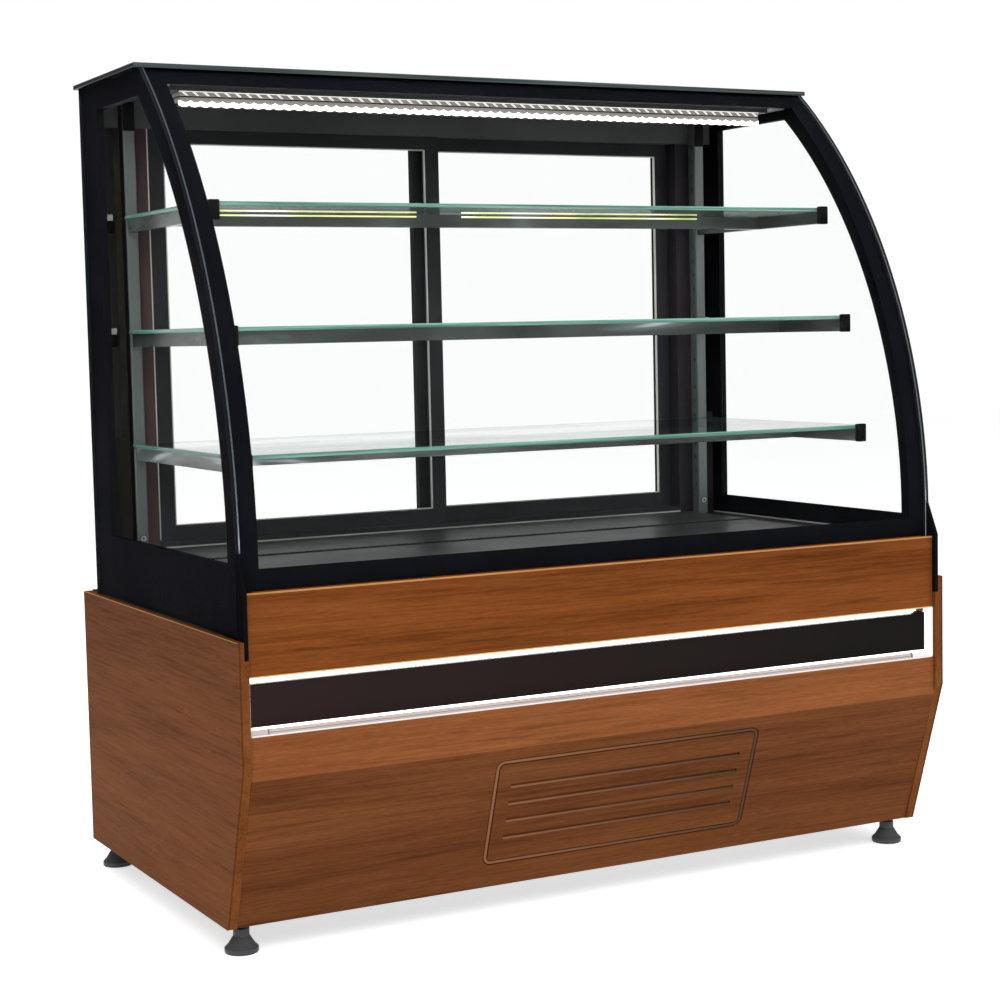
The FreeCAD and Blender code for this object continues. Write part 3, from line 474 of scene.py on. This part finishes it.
DASH_HIGHLIGHT = glowing("painted_dash_highlight", (1.0, 0.95, 0.88), 0.55)
ZINC = brushed("zinc", (0.5, 0.51, 0.52), 0.42, 0)
DECK_PAINT = lacquer("deck_paint", (0.019, 0.019, 0.0195), 0.4)
DECK_DARK = lacquer("deck_dark", (0.012, 0.012, 0.0135), 0.42)
FOAM_SKIN = lacquer("foam_skin", (0.03, 0.03, 0.032), 0.5)
FINS = brushed("fins", (0.62, 0.63, 0.64), 0.35, 2)
COMPRESSOR_PAINT = lacquer("compressor_paint", (0.012, 0.012, 0.013), 0.3, coat=0.3)
COPPER = brushed("copper", (0.7, 0.32, 0.17), 0.3, 0, metallic=1.0)

FINISH = {
    "side_panel_left": WOOD_SIDE, "side_panel_right": WOOD_SIDE, "front_lower_panel": WOOD_LOWER,
    "front_band_panel": WOOD_BAND, "front_fascia": WOOD_FASCIA,
    "side_glass_left": CLEAR, "side_glass_right": CLEAR, "front_glass": CLEAR,
    "door_left_glass": DOOR_GLASS, "door_right_glass": DOOR_GLASS,
    "side_border_left": PRINT_SIDE, "side_border_right": PRINT_SIDE, "front_border": PRINT_FRONT,
    "backlit_panel": BLACK_STRIP, "light_channel": WHITE_PAINT, "recess_lights": RECESS_GLOW,
    "backlit_standoffs": ZINC, "fixing_screws": ZINC,
    "door_left_frame": BLACK_FRAME, "door_right_frame": BLACK_FRAME,
    "rear_top_beam": BEAM_GREY, "rear_bottom_track": BLACK_FRAME, "rear_posts": REAR_POST_PAINTED_LIGHT,
    "lamp_housing": DARK_METAL, "lamp_diffuser": LED_GLOW,
    "uprights": GREY_METAL, "shelf_bracket_1": ARM_REFLECTIONS, "shelf_bracket_2": ARM_REFLECTIONS,
    "shelf_bracket_3": ARM_REFLECTIONS, "shelf_end_caps": MATTE_BLACK,
    "foot_front_left": FOOT_BLACK, "foot_front_right": FOOT_BLACK,
    "foot_rear_left": FOOT_BLACK, "foot_rear_right": FOOT_BLACK,
    "control_panel": MATTE_BLACK, "light_switch": MATTE_BLACK, "cable_gland": MATTE_BLACK,
    "door_left_glides": MATTE_BLACK, "door_right_glides": MATTE_BLACK,
    "condenser_fan_blade": MATTE_BLACK, "evaporator_fan_blade": MATTE_BLACK,
    "thermostat_button": GREY_PLASTIC, "drain_tray": GREY_PLASTIC,
    "base_frame": BLACK_FRAME, "rear_panel": BLACK_FRAME,
    "base_pan": ZINC, "condenser_fan_shroud": ZINC, "evaporator_fan_plate": ZINC,
    "deck_plate": DECK_DARK, "deck_covers": DECK_PAINT,
    "deck_insulation": FOAM_SKIN, "well_trough": FOAM_SKIN,
    "condenser_coil": FINS, "evaporator_coil": FINS, "compressor": COMPRESSOR_PAINT,
    "refrigerant_pipes": COPPER,
}
for node_name, node_object in NODES.items():
    if node_name in FINISH:
        for material_slot in node_object.material_slots:
            material_slot.material = FINISH[node_name]


def edge_faces(node, material, chosen):
    """Gives the faces whose normal is chosen the material of a pane's edges."""
    obj = NODES[node]
    obj.data.materials.append(material)
    last = len(obj.data.materials) - 1
    for polygon in obj.data.polygons:
        if chosen(polygon.normal):
            polygon.material_index = last


edge_faces("side_glass_left", PANE_EDGE, lambda normal: abs(normal.x) < 0.5)
edge_faces("side_glass_right", PANE_EDGE, lambda normal: abs(normal.x) < 0.5)
edge_faces("front_glass", PANE_EDGE, lambda normal: abs(normal.x) > 0.5 or normal.z < -0.9)

# The panes stand a hair inside their own faces, clear of the prints and frames that touch them.
PANE_INSET = 0.0002
CRISP_ANGLE = math.radians(30.0)
for pane in ("side_glass_left", "side_glass_right", "front_glass"):
    inset = NODES[pane].modifiers.new("inset", "DISPLACE")
    inset.mid_level = 0.0
    inset.strength = -PANE_INSET
    crisp = NODES[pane].modifiers.new("crisp", "EDGE_SPLIT")
    crisp.split_angle = CRISP_ANGLE


# ======================= glass shelves and top plate =======================

def glass_sheet(name, node, materials, bevel):
    """Flat pane in place of its CAD box. materials: faces, front and rear edges, side edges."""
    lo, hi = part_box(node)
    bm = bmesh.new()
    add_box(bm, lo, hi, bevel, 2)
    obj = new_object(name, bm, materials)
    for polygon in obj.data.polygons:
        if abs(polygon.normal.z) > 0.99:
            polygon.material_index = 0
        else:
            polygon.material_index = 1 if abs(polygon.normal.y) > abs(polygon.normal.x) else 2
    return finish_piece(obj, "case", [node])


for shelf in SHELVES:
    glass_sheet("shelf_pane_%d" % shelf, "shelf_glass_%d" % shelf, [SHELF_CLEAR, SHELF_EDGE, SHELF_EDGE],
                0.0008)
glass_sheet("top_pane", "top_plate", [TOP_BLACK, TOP_EDGE, TOP_SIDE], 0.0012)


# ======================= lamp: light spots behind a ribbed cover =======================

LED_COUNT = 62
LAMP_X = 0.522          # left end of the lit row, from the middle
LAMP_END = 0.5165       # its right end
HOUSING_X = 0.535       # half the length of the lamp housing's ribs
LAMP_FRONT, LAMP_REAR = 0.023, 0.057
LED_REAR = 0.030
UPPER_RIB = 1.2118, 1.2182      # underside and top of the cover's two ribs
LOWER_RIB = 1.2020, 1.2103
LED_PITCH = (LAMP_X + LAMP_END) / LED_COUNT


def led_row():
    """Glowing belly of the cover, scalloped by the row of light spots."""
    steps = 8
    top_z, top_swell = 1.2052, 0.0030
    low_z, low_swell = 1.1990, 0.0024
    top, bottom = [], []
    for i in range(LED_COUNT * steps + 1):
        x = -LAMP_X + LED_PITCH * i / steps
        swell = abs(math.sin(math.pi * i / steps))
        top.append((x, top_z - top_swell * swell))
        bottom.append((x, low_z - low_swell * swell))
    bm = bmesh.new()
    rings = []
    for y in (LAMP_FRONT, LED_REAR):
        rings.append([[bm.verts.new((x, y, z)) for x, z in line] for line in (bottom, top)])
    for lower, upper in rings:
        for i in range(len(lower) - 1):
            bm.faces.new((lower[i], lower[i + 1], upper[i + 1], upper[i]))
    (low_a, up_a), (low_b, up_b) = rings
    for a, b in ((low_a, low_b), (up_a, up_b)):
        for i in range(len(a) - 1):
            bm.faces.new((a[i], a[i + 1], b[i + 1], b[i]))
    for i in (0, -1):
        bm.faces.new((low_a[i], up_a[i], up_b[i], low_b[i]))
    return finish_piece(new_object("led_row", bm, [LED_GLOW]), "case", ["lamp_diffuser"])


def slanted_dashes():
    """Slanted bright dashes in the upper rib of the cover: painted highlights where the light spots show
    in the rib, made to glow.
    """
    bm = bmesh.new()
    low, high, lean, width = 1.2126, 1.2184, 0.0075, 0.0042
    front, back = LAMP_FRONT - 0.0006, LAMP_FRONT + 0.0004
    for i in range(LED_COUNT):
        x = -LAMP_X + LED_PITCH * i + 0.002
        outline = ((x + lean, low), (x + lean + width, low), (x + width, high), (x, high))
        add_prism(bm, [(px, front, pz) for px, pz in outline], [(px, back, pz) for px, pz in outline])
    return finish_piece(new_object("lamp_dash_highlights", bm, [DASH_HIGHLIGHT]), "case")


led_row()
slanted_dashes()
boxes("lamp_cover", [((-LAMP_X, LAMP_FRONT, UPPER_RIB[0]), (LAMP_END, LAMP_REAR, UPPER_RIB[1])),
                     ((-LAMP_X, LAMP_FRONT + 0.0008, LOWER_RIB[0]),
                      (LAMP_END, LAMP_REAR - 0.001, LOWER_RIB[1]))],
      LAMP_GREY, "case", 0.0008)
# painted highlight along the top of the cover's upper rib
boxes("lamp_top_highlight", [((-LAMP_X, LAMP_FRONT - 0.0004, 1.2180), (LAMP_END, LAMP_FRONT + 0.004, 1.2190))],
      DASH_HIGHLIGHT, "case")
boxes("lamp_seam", [((-LAMP_X, LAMP_FRONT + 0.0015, LOWER_RIB[1]),
                     (LAMP_END, LAMP_REAR - 0.002, UPPER_RIB[0])),
                    ((-LAMP_X, LED_REAR, 1.1985), (LAMP_END, LAMP_REAR - 0.004, LOWER_RIB[0]))],
      MATTE_BLACK, "case")
boxes("canopy_lining", mirrored((0.5360, 0.0200, 1.2250), (0.5700, 0.2250, 1.2470)),
      CANOPY, "case", 0.002)
# painted highlight: a pale line on the right lining only
boxes("canopy_highlight_lines", [((0.5362, 0.0190, 1.2392), (0.5690, 0.0200, 1.2412))],
      PALE_METAL_AND_HIGHLIGHTS, "case")
# painted highlight: a pale strip along the housing's front lip
boxes("lamp_lip_highlight", [((-HOUSING_X, 0.0174, 1.2272), (HOUSING_X, 0.0184, 1.2318))],
      PALE_METAL_AND_HIGHLIGHTS, "case", 0.0004)
boxes("lamp_ribs", [((-HOUSING_X, 0.0212, z), (HOUSING_X, 0.0222, z + 0.0012))
                    for z in (1.2352, 1.2385, 1.2418, 1.2451)],
      BEAM_GREY, "case", 0.0003)


# ======================= lines and edges that catch the light =======================

FASCIA_X = 0.5845       # half the length of the fascia's painted highlights
FASCIA_Y = -0.3428
REST_Y = 0.2590, 0.2860     # front and rear of the rests behind the uprights


def span_x(sign, near, far):
    """The x values of a side part, low one first: distances from the middle on the side of sign."""
    return sorted((sign * near, sign * far))


# painted highlight along the fascia's top edge
boxes("fascia_highlight_top", [((-FASCIA_X, -0.3434, 0.5122), (FASCIA_X, FASCIA_Y, 0.5147))],
      WOOD_EDGE_HIGHLIGHT, "case")
# painted highlight along the fascia's lower edge, lit by the recess
boxes("fascia_glow_highlight_low", [((-FASCIA_X, -0.3433, 0.4004), (FASCIA_X, FASCIA_Y, 0.4018))],
      WOOD_GLOW_HIGHLIGHT, "case")
for side, sign in (("left", -1), ("right", 1)):
    low_x, high_x = span_x(sign, 0.6001, 0.5990)
    # painted highlight along the side panel's outer top edge
    boxes("panel_highlight_" + side, [((low_x, -0.3495, 0.4492), (high_x, 0.3425, 0.4502))],
          WOOD_EDGE_HIGHLIGHT, "case")
    # white end plates of the recess, with a painted glow for the light of the recess strips
    low_x, high_x = span_x(sign, 0.5826, 0.5842)
    boxes("recess_end_" + side, [((low_x, -0.3440, 0.3212), (high_x, -0.3125, 0.4000))],
          PAINTED_END_GLOW, "case")
    low_x, high_x = span_x(sign, 0.5705, 0.5545)
    for shelf in SHELVES:
        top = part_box("shelf_glass_%d" % shelf)[1].z
        boxes("rest_%s_%d" % (side, shelf),
              [((low_x, REST_Y[0], top - 0.026), (high_x, REST_Y[1], top - 0.006))],
              MATTE_BLACK, "case", 0.0008)
        boxes("rest_glass_%s_%d" % (side, shelf),
              [((low_x, REST_Y[0], top - 0.006), (high_x, REST_Y[1], top + 0.004))],
              PALE_METAL_AND_HIGHLIGHTS, "case", 0.0008)


# ======================= lit ledge below the recess =======================

LEDGE_X = 0.5822        # half the ledge's length
LEDGE_Y = -0.3440       # its front face
LEDGE_Z = 0.3200        # its underside
boxes("ledge", [((-LEDGE_X, LEDGE_Y, LEDGE_Z), (LEDGE_X, -0.3330, 0.3212)),
                ((-LEDGE_X, LEDGE_Y, 0.3222), (0.5415, -0.3405, 0.3292))],
      LEDGE_PINK, "case", 0.0003)
boxes("ledge_groove", [((-0.5560, -0.3442, 0.3246), (0.5390, -0.3438, 0.3253))],
      LEDGE_DARK, "case")
boxes("ledge_lips", [((-LEDGE_X, -0.3453, LEDGE_Z), (LEDGE_X, LEDGE_Y, 0.3222)),
                     ((0.5440, LEDGE_Y, 0.3222), (0.5600, -0.3410, 0.3285)),
                     ((-LEDGE_X, -0.3345, 0.3212), (LEDGE_X, -0.3330, 0.3222))],
      WHITE_PAINT, "case")
boxes("ledge_joints", [((-0.5585, -0.3443, 0.3222), (-0.5565, -0.3400, 0.3292)),
                       ((0.5400, -0.3443, 0.3222), (0.5422, -0.3400, 0.3300))],
      LEDGE_DARK, "case")
boxes("recess_bracket", [((0.5650, -0.3312, 0.3925), (0.5765, -0.3255, 0.3992))],
      OLIVE, "case", 0.0005)


def strip_tab():
    """Small raised tab on the strip's top edge, at its right end."""
    bm = bmesh.new()
    outline = ((0.5530, 0.3898), (0.5775, 0.3898), (0.5775, 0.3915), (0.5640, 0.3945), (0.5610, 0.3945))
    front, back = -0.3322, -0.3275
    add_prism(bm, [(x, front, z) for x, z in outline], [(x, back, z) for x, z in outline])
    return finish_piece(new_object("strip_tab", bm, [BLACK_STRIP]), "case")


strip_tab()


# ======================= painted highlights on the edges of the routed grille ===

FOLD_Y, FOLD_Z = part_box("front_lower_panel")[0].y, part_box("front_lower_panel")[1].z
SLANT = math.atan2(0.0745, 0.2180)      # lean of the lower panel: its run over its rise
GRILLE = -0.2030, 0.2430, 0.0240, 0.1870      # x from and to, drop from and to
GRILLE_RADIUS = 0.0090
GRILLE_BAND = 0.0040                          # width of the painted highlight around it
CORNER_STEPS = 8
SLATS = 4
SLAT_PITCH = 0.0285


def on_slant(x, drop, depth):
    """Point on the slanted panel: x, distance down the slant from the fold, depth below its face."""
    return (x, FOLD_Y + depth * math.cos(SLANT) + drop * math.sin(SLANT),
            FOLD_Z + depth * math.sin(SLANT) - drop * math.cos(SLANT))


def closed_band(bm, inner, outer):
    """Solid band between two closed outlines of (x, drop), sunk just under the panel's face."""
    rings = [[bm.verts.new(on_slant(x, drop, depth)) for x, drop in line]
             for line in (inner, outer) for depth in (0.0006, 0.0029)]
    inner_top, inner_low, outer_top, outer_low = rings
    for first, second in ((inner_top, outer_top), (inner_low, outer_low),
                          (inner_top, inner_low), (outer_top, outer_low)):
        for k in range(len(first)):
            after = (k + 1) % len(first)
            bm.faces.new((first[k], first[after], second[after], second[k]))


def grille_outline(grow):
    """Points (x, drop) around the grille's rounded rectangle, grown on all sides."""
    x0, x1, low, high = GRILLE
    x0, x1, low, high = x0 - grow, x1 + grow, low - grow, high + grow
    radius = GRILLE_RADIUS + grow
    points = []
    corners = ((x1 - radius, high - radius, 0.0), (x0 + radius, high - radius, 0.5),
               (x0 + radius, low + radius, 1.0), (x1 - radius, low + radius, 1.5))
    for x, drop, start in corners:
        for k in range(CORNER_STEPS + 1):
            angle = math.pi * (start + k / (2 * CORNER_STEPS))
            points.append((x + radius * math.cos(angle), drop + radius * math.sin(angle)))
    return points


def grille_highlights():
    """Painted highlights on the edges around the routed outline and below its slots."""
    bm = bmesh.new()
    closed_band(bm, grille_outline(0.0), grille_outline(GRILLE_BAND))
    for k in range(SLATS):
        middle = 0.06275 + SLAT_PITCH * k
        corners = [on_slant(x, drop, depth) for x in (-0.1795, 0.2195)
                   for drop in (middle + 0.0006, middle + 0.0038) for depth in (0.0005, 0.0029)]
        verts = [bm.verts.new(corner) for corner in corners]
        for face in ((0, 1, 3, 2), (4, 5, 7, 6), (0, 1, 5, 4), (2, 3, 7, 6), (0, 2, 6, 4), (1, 3, 7, 5)):
            bm.faces.new([verts[i] for i in face])
    return finish_piece(new_object("grille_highlights", bm, [GRILLE_HIGHLIGHT]), "case")


grille_highlights()


# ======================= painted highlight lines on the track, post and rails, seals on the deck, painted shade on the uprights ===

# painted highlight along the front edge of the lower track
boxes("track_highlight", [((-0.4960, 0.2521, 0.5192), (0.4960, 0.2531, 0.5214))],
      PALE_METAL_AND_HIGHLIGHTS, "case")
boxes("deck_seals", mirrored((0.5690, -0.3000, 0.5150), (0.5708, 0.2520, 0.5172)),
      PALE_METAL_AND_HIGHLIGHTS, "case")
# painted highlight: a pale vertical line on the left, beside the left door
boxes("post_highlight", [((-0.4972, 0.2540, 0.5330), (-0.4955, 0.2550, 1.1865))],
      PALE_METAL_AND_HIGHLIGHTS, "case")
# painted shade: black sheets on the uprights' outer sides and across the tops of their fronts
boxes("upright_side_shade", mirrored((0.5426, 0.2330, 0.5250), (0.5433, 0.2510, 1.2250))[::-1]
      + mirrored((0.5235, 0.2304, 1.1800), (UPRIGHT_X, 0.2309, 1.2250)),
      MATTE_BLACK, "case")

GLINT_SHELF = 3                                 # only the top shelf's rail mirrors the lamp
GLINTS = ((-0.50, -0.13), (-0.05, 0.40))        # x from and to
RAIL_SET_BACK = 0.1697                          # from the shelf glass's front edge to the rail's face
rail_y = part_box("shelf_glass_%d" % GLINT_SHELF)[0].y + RAIL_SET_BACK
rail_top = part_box("shelf_bracket_%d" % GLINT_SHELF)[1].z
boxes("rail_glint_%d" % GLINT_SHELF,
      [((left, rail_y - 0.0006, rail_top - 0.0046), (right, rail_y + 0.0004, rail_top - 0.0022))
       for left, right in GLINTS], GLINT, "case")


# ======================= painted highlight beads of the doors, and upright screws ===

def door_highlight_beads(side, body):
    """Thin pale beads around the clear opening of a sliding door, on its front face: painted highlights
    along the opening's edges.
    """
    lo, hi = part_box("door_%s_frame" % side)
    stile, rail, wide = 0.026, 0.035, 0.0018
    x0, x1, z0, z1 = lo.x + stile, hi.x - stile, lo.z + rail, hi.z - rail
    y0, y1 = lo.y - 0.0004, lo.y + 0.0040
    spans = [((x0, y0, z0), (x1, y1, z0 + wide)), ((x0, y0, z1 - wide), (x1, y1, z1)),
             ((x0, y0, z0), (x0 + wide, y1, z1)), ((x1 - wide, y0, z0), (x1, y1, z1))]
    return boxes("door_highlight_beads_" + side, spans, PALE_METAL_AND_HIGHLIGHTS, body)


door_highlight_beads("left", "door_left")
door_highlight_beads("right", "door_right")


SCREW = lacquer("screw_black", (0.01, 0.01, 0.01), 0.15, coat=1.0, gloss=1.0)
SCREW_RADIUS = 0.0050


def upright_screws():
    """Domed black screws near the foot of each upright."""
    bm = bmesh.new()
    for x in (-0.533, 0.533):
        at = Vector((x, 0.2308, 0.5405))
        made = bmesh.ops.create_uvsphere(bm, u_segments=20, v_segments=10, radius=SCREW_RADIUS)
        for v in made["verts"]:
            v.co = Vector((v.co.x, v.co.y * 0.5, v.co.z)) + at
    return finish_piece(new_object("upright_screws", bm, [SCREW], smooth=True), "case")


upright_screws()


# ======================= painted highlight beads on the corners of the curved glass ===

def corner_highlight_bead(name, x):
    """Bright silver bead that follows the front edge of a side pane: a painted highlight of the pane's
    polished edge.
    """
    radius, sides, steps = 0.0011, 8, 32
    foot, top = 0.024, math.asin((FRONT_GLASS_TOP - ARC_Z) / ARC_R)
    line = [arc_point(ARC_R, foot + (top - foot) * i / steps) for i in range(steps + 1)]
    bm = bmesh.new()
    rings = []
    for i, (y, z) in enumerate(line):
        before = Vector(line[max(i - 1, 0)])
        after = Vector(line[min(i + 1, len(line) - 1)])
        ahead = (after - before).normalized()
        across = Vector((-ahead.y, ahead.x))
        ring = []
        for k in range(sides):
            a = 2 * math.pi * k / sides
            side = across * (radius * math.sin(a))
            ring.append(bm.verts.new((x + radius * math.cos(a), y + side.x, z + side.y)))
        rings.append(ring)
    for first, second in zip(rings, rings[1:]):
        for k in range(sides):
            bm.faces.new((first[k], first[(k + 1) % sides], second[(k + 1) % sides], second[k]))
    bm.faces.new(rings[0])
    bm.faces.new(rings[-1])
    return finish_piece(new_object(name, bm, [SILVER_HIGHLIGHT], smooth=True), "case")


corner_highlight_bead("corner_highlight_right", SIDE_PANE_X)
corner_highlight_bead("corner_highlight_left", -SIDE_PANE_X)


# ======================= floor, light and camera =======================

FLOOR_SIZE = 12.0
FLOOR_GLOW = 0.25, 0.60         # as it lights the object, and as it is seen


def stage_floor():
    """White floor, brighter to the eye than as a light on the object."""
    bm = bmesh.new()
    bmesh.ops.create_grid(bm, x_segments=1, y_segments=1, size=FLOOR_SIZE)
    m = Nodes("pale_floor", Roughness=0.7, Specular_IOR_Level=0.0, Emission_Color=(1.0, 1.0, 1.0, 1.0))
    seen = m.add("ShaderNodeLightPath")
    direct = m.math("MAXIMUM", seen.outputs["Is Camera Ray"], seen.outputs["Is Transmission Ray"])
    m.link(m.span(direct, 0.0, 1.0, *FLOOR_GLOW), m.shader.inputs["Emission Strength"])
    cloud = m.noise((1.0, 1.0, 1.0), 2.0, 2.0)
    m.colour(m.ramp(cloud, [(0.3, (0.86, 0.86, 0.86)), (0.7, (0.88, 0.88, 0.88))]))
    floor = new_object("floor", bm, [m.material])


LIGHT_SIZE = 2.5


def area_light(name, place, target, power):
    """Square lamp that shines on target and doesn't show in reflections."""
    data = bpy.data.lights.new(name, "AREA")
    data.shape = "SQUARE"
    data.size = LIGHT_SIZE
    data.energy = power
    lamp = bpy.data.objects.new(name, data)
    lamp.location = place
    lamp.rotation_euler = (Vector(target) - Vector(place)).to_track_quat("-Z", "Y").to_euler()
    lamp.visible_glossy = False
    bpy.context.scene.collection.objects.link(lamp)


CAMERA_AT = -1.5588, -2.8892, 0.8544
CAMERA_TURN = 28.14, -4.69, -1.245      # yaw, pitch and roll in degrees
LENS = 73.69


def camera():
    """View of the left side and the front, from a little above the middle."""
    yaw, pitch, roll = (math.radians(turn) for turn in CAMERA_TURN)
    ahead = Vector((math.sin(yaw) * math.cos(pitch), math.cos(yaw) * math.cos(pitch), math.sin(pitch)))
    right = Vector((math.cos(yaw), -math.sin(yaw), 0.0))
    up = right.cross(ahead)
    across = right * math.cos(roll) + up * math.sin(roll)
    above = up * math.cos(roll) - right * math.sin(roll)
    data = bpy.data.cameras.new("camera")
    data.sensor_width = 36.0
    data.lens = LENS
    obj = bpy.data.objects.new("camera", data)
    obj.matrix_world = Matrix((
        (across.x, above.x, -ahead.x, CAMERA_AT[0]),
        (across.y, above.y, -ahead.y, CAMERA_AT[1]),
        (across.z, above.z, -ahead.z, CAMERA_AT[2]),
        (0, 0, 0, 1)))
    bpy.context.scene.collection.objects.link(obj)
    bpy.context.scene.camera = obj


SEEN_LIGHT = 1.0                # strength of the surroundings behind the object
DIFFUSE_LIGHT = 0.45            # their strength as soft light on it
MIRRORED_LIGHT = 0.14           # their strength in reflections


def studio_world():
    """White surroundings, softer as light on the object than as the backdrop behind it."""
    world = bpy.data.worlds.new("studio")
    world.use_nodes = True
    tree = world.node_tree
    path = tree.nodes.new("ShaderNodeLightPath")

    def share(value, part, rest=None):
        """The value times its part, added to what the rest gives."""
        node = tree.nodes.new("ShaderNodeMath")
        node.operation = "MULTIPLY_ADD"
        tree.links.new(value, node.inputs[0])
        node.inputs[1].default_value = part
        node.inputs[2].default_value = 0.0
        if rest is not None:
            tree.links.new(rest, node.inputs[2])
        return node.outputs["Value"]

    seen = tree.nodes.new("ShaderNodeMath")
    seen.operation = "MAXIMUM"
    tree.links.new(path.outputs["Is Camera Ray"], seen.inputs[0])
    tree.links.new(path.outputs["Is Transmission Ray"], seen.inputs[1])
    lit = share(path.outputs["Is Diffuse Ray"], DIFFUSE_LIGHT, share(seen.outputs["Value"], SEEN_LIGHT))
    strength = tree.nodes.new("ShaderNodeMath")
    strength.operation = "MAXIMUM"
    strength.inputs[1].default_value = MIRRORED_LIGHT
    tree.links.new(lit, strength.inputs[0])
    tree.links.new(strength.outputs["Value"], tree.nodes["Background"].inputs["Strength"])
    tree.nodes["Background"].inputs["Color"].default_value = (1.0, 1.0, 1.0, 1.0)
    bpy.context.scene.world = world


studio_world()
bpy.context.scene.view_settings.view_transform = "Standard"
stage_floor()
area_light("key", (-2.2, -3.6, 3.4), (0.0, 0.0, 0.5), 95.0)
area_light("fill", (3.0, -2.6, 2.6), (0.0, 0.0, 0.5), 45.0)
area_light("top", (0.0, 0.8, 3.6), (0.0, 0.3, 0.0), 60.0)
camera()
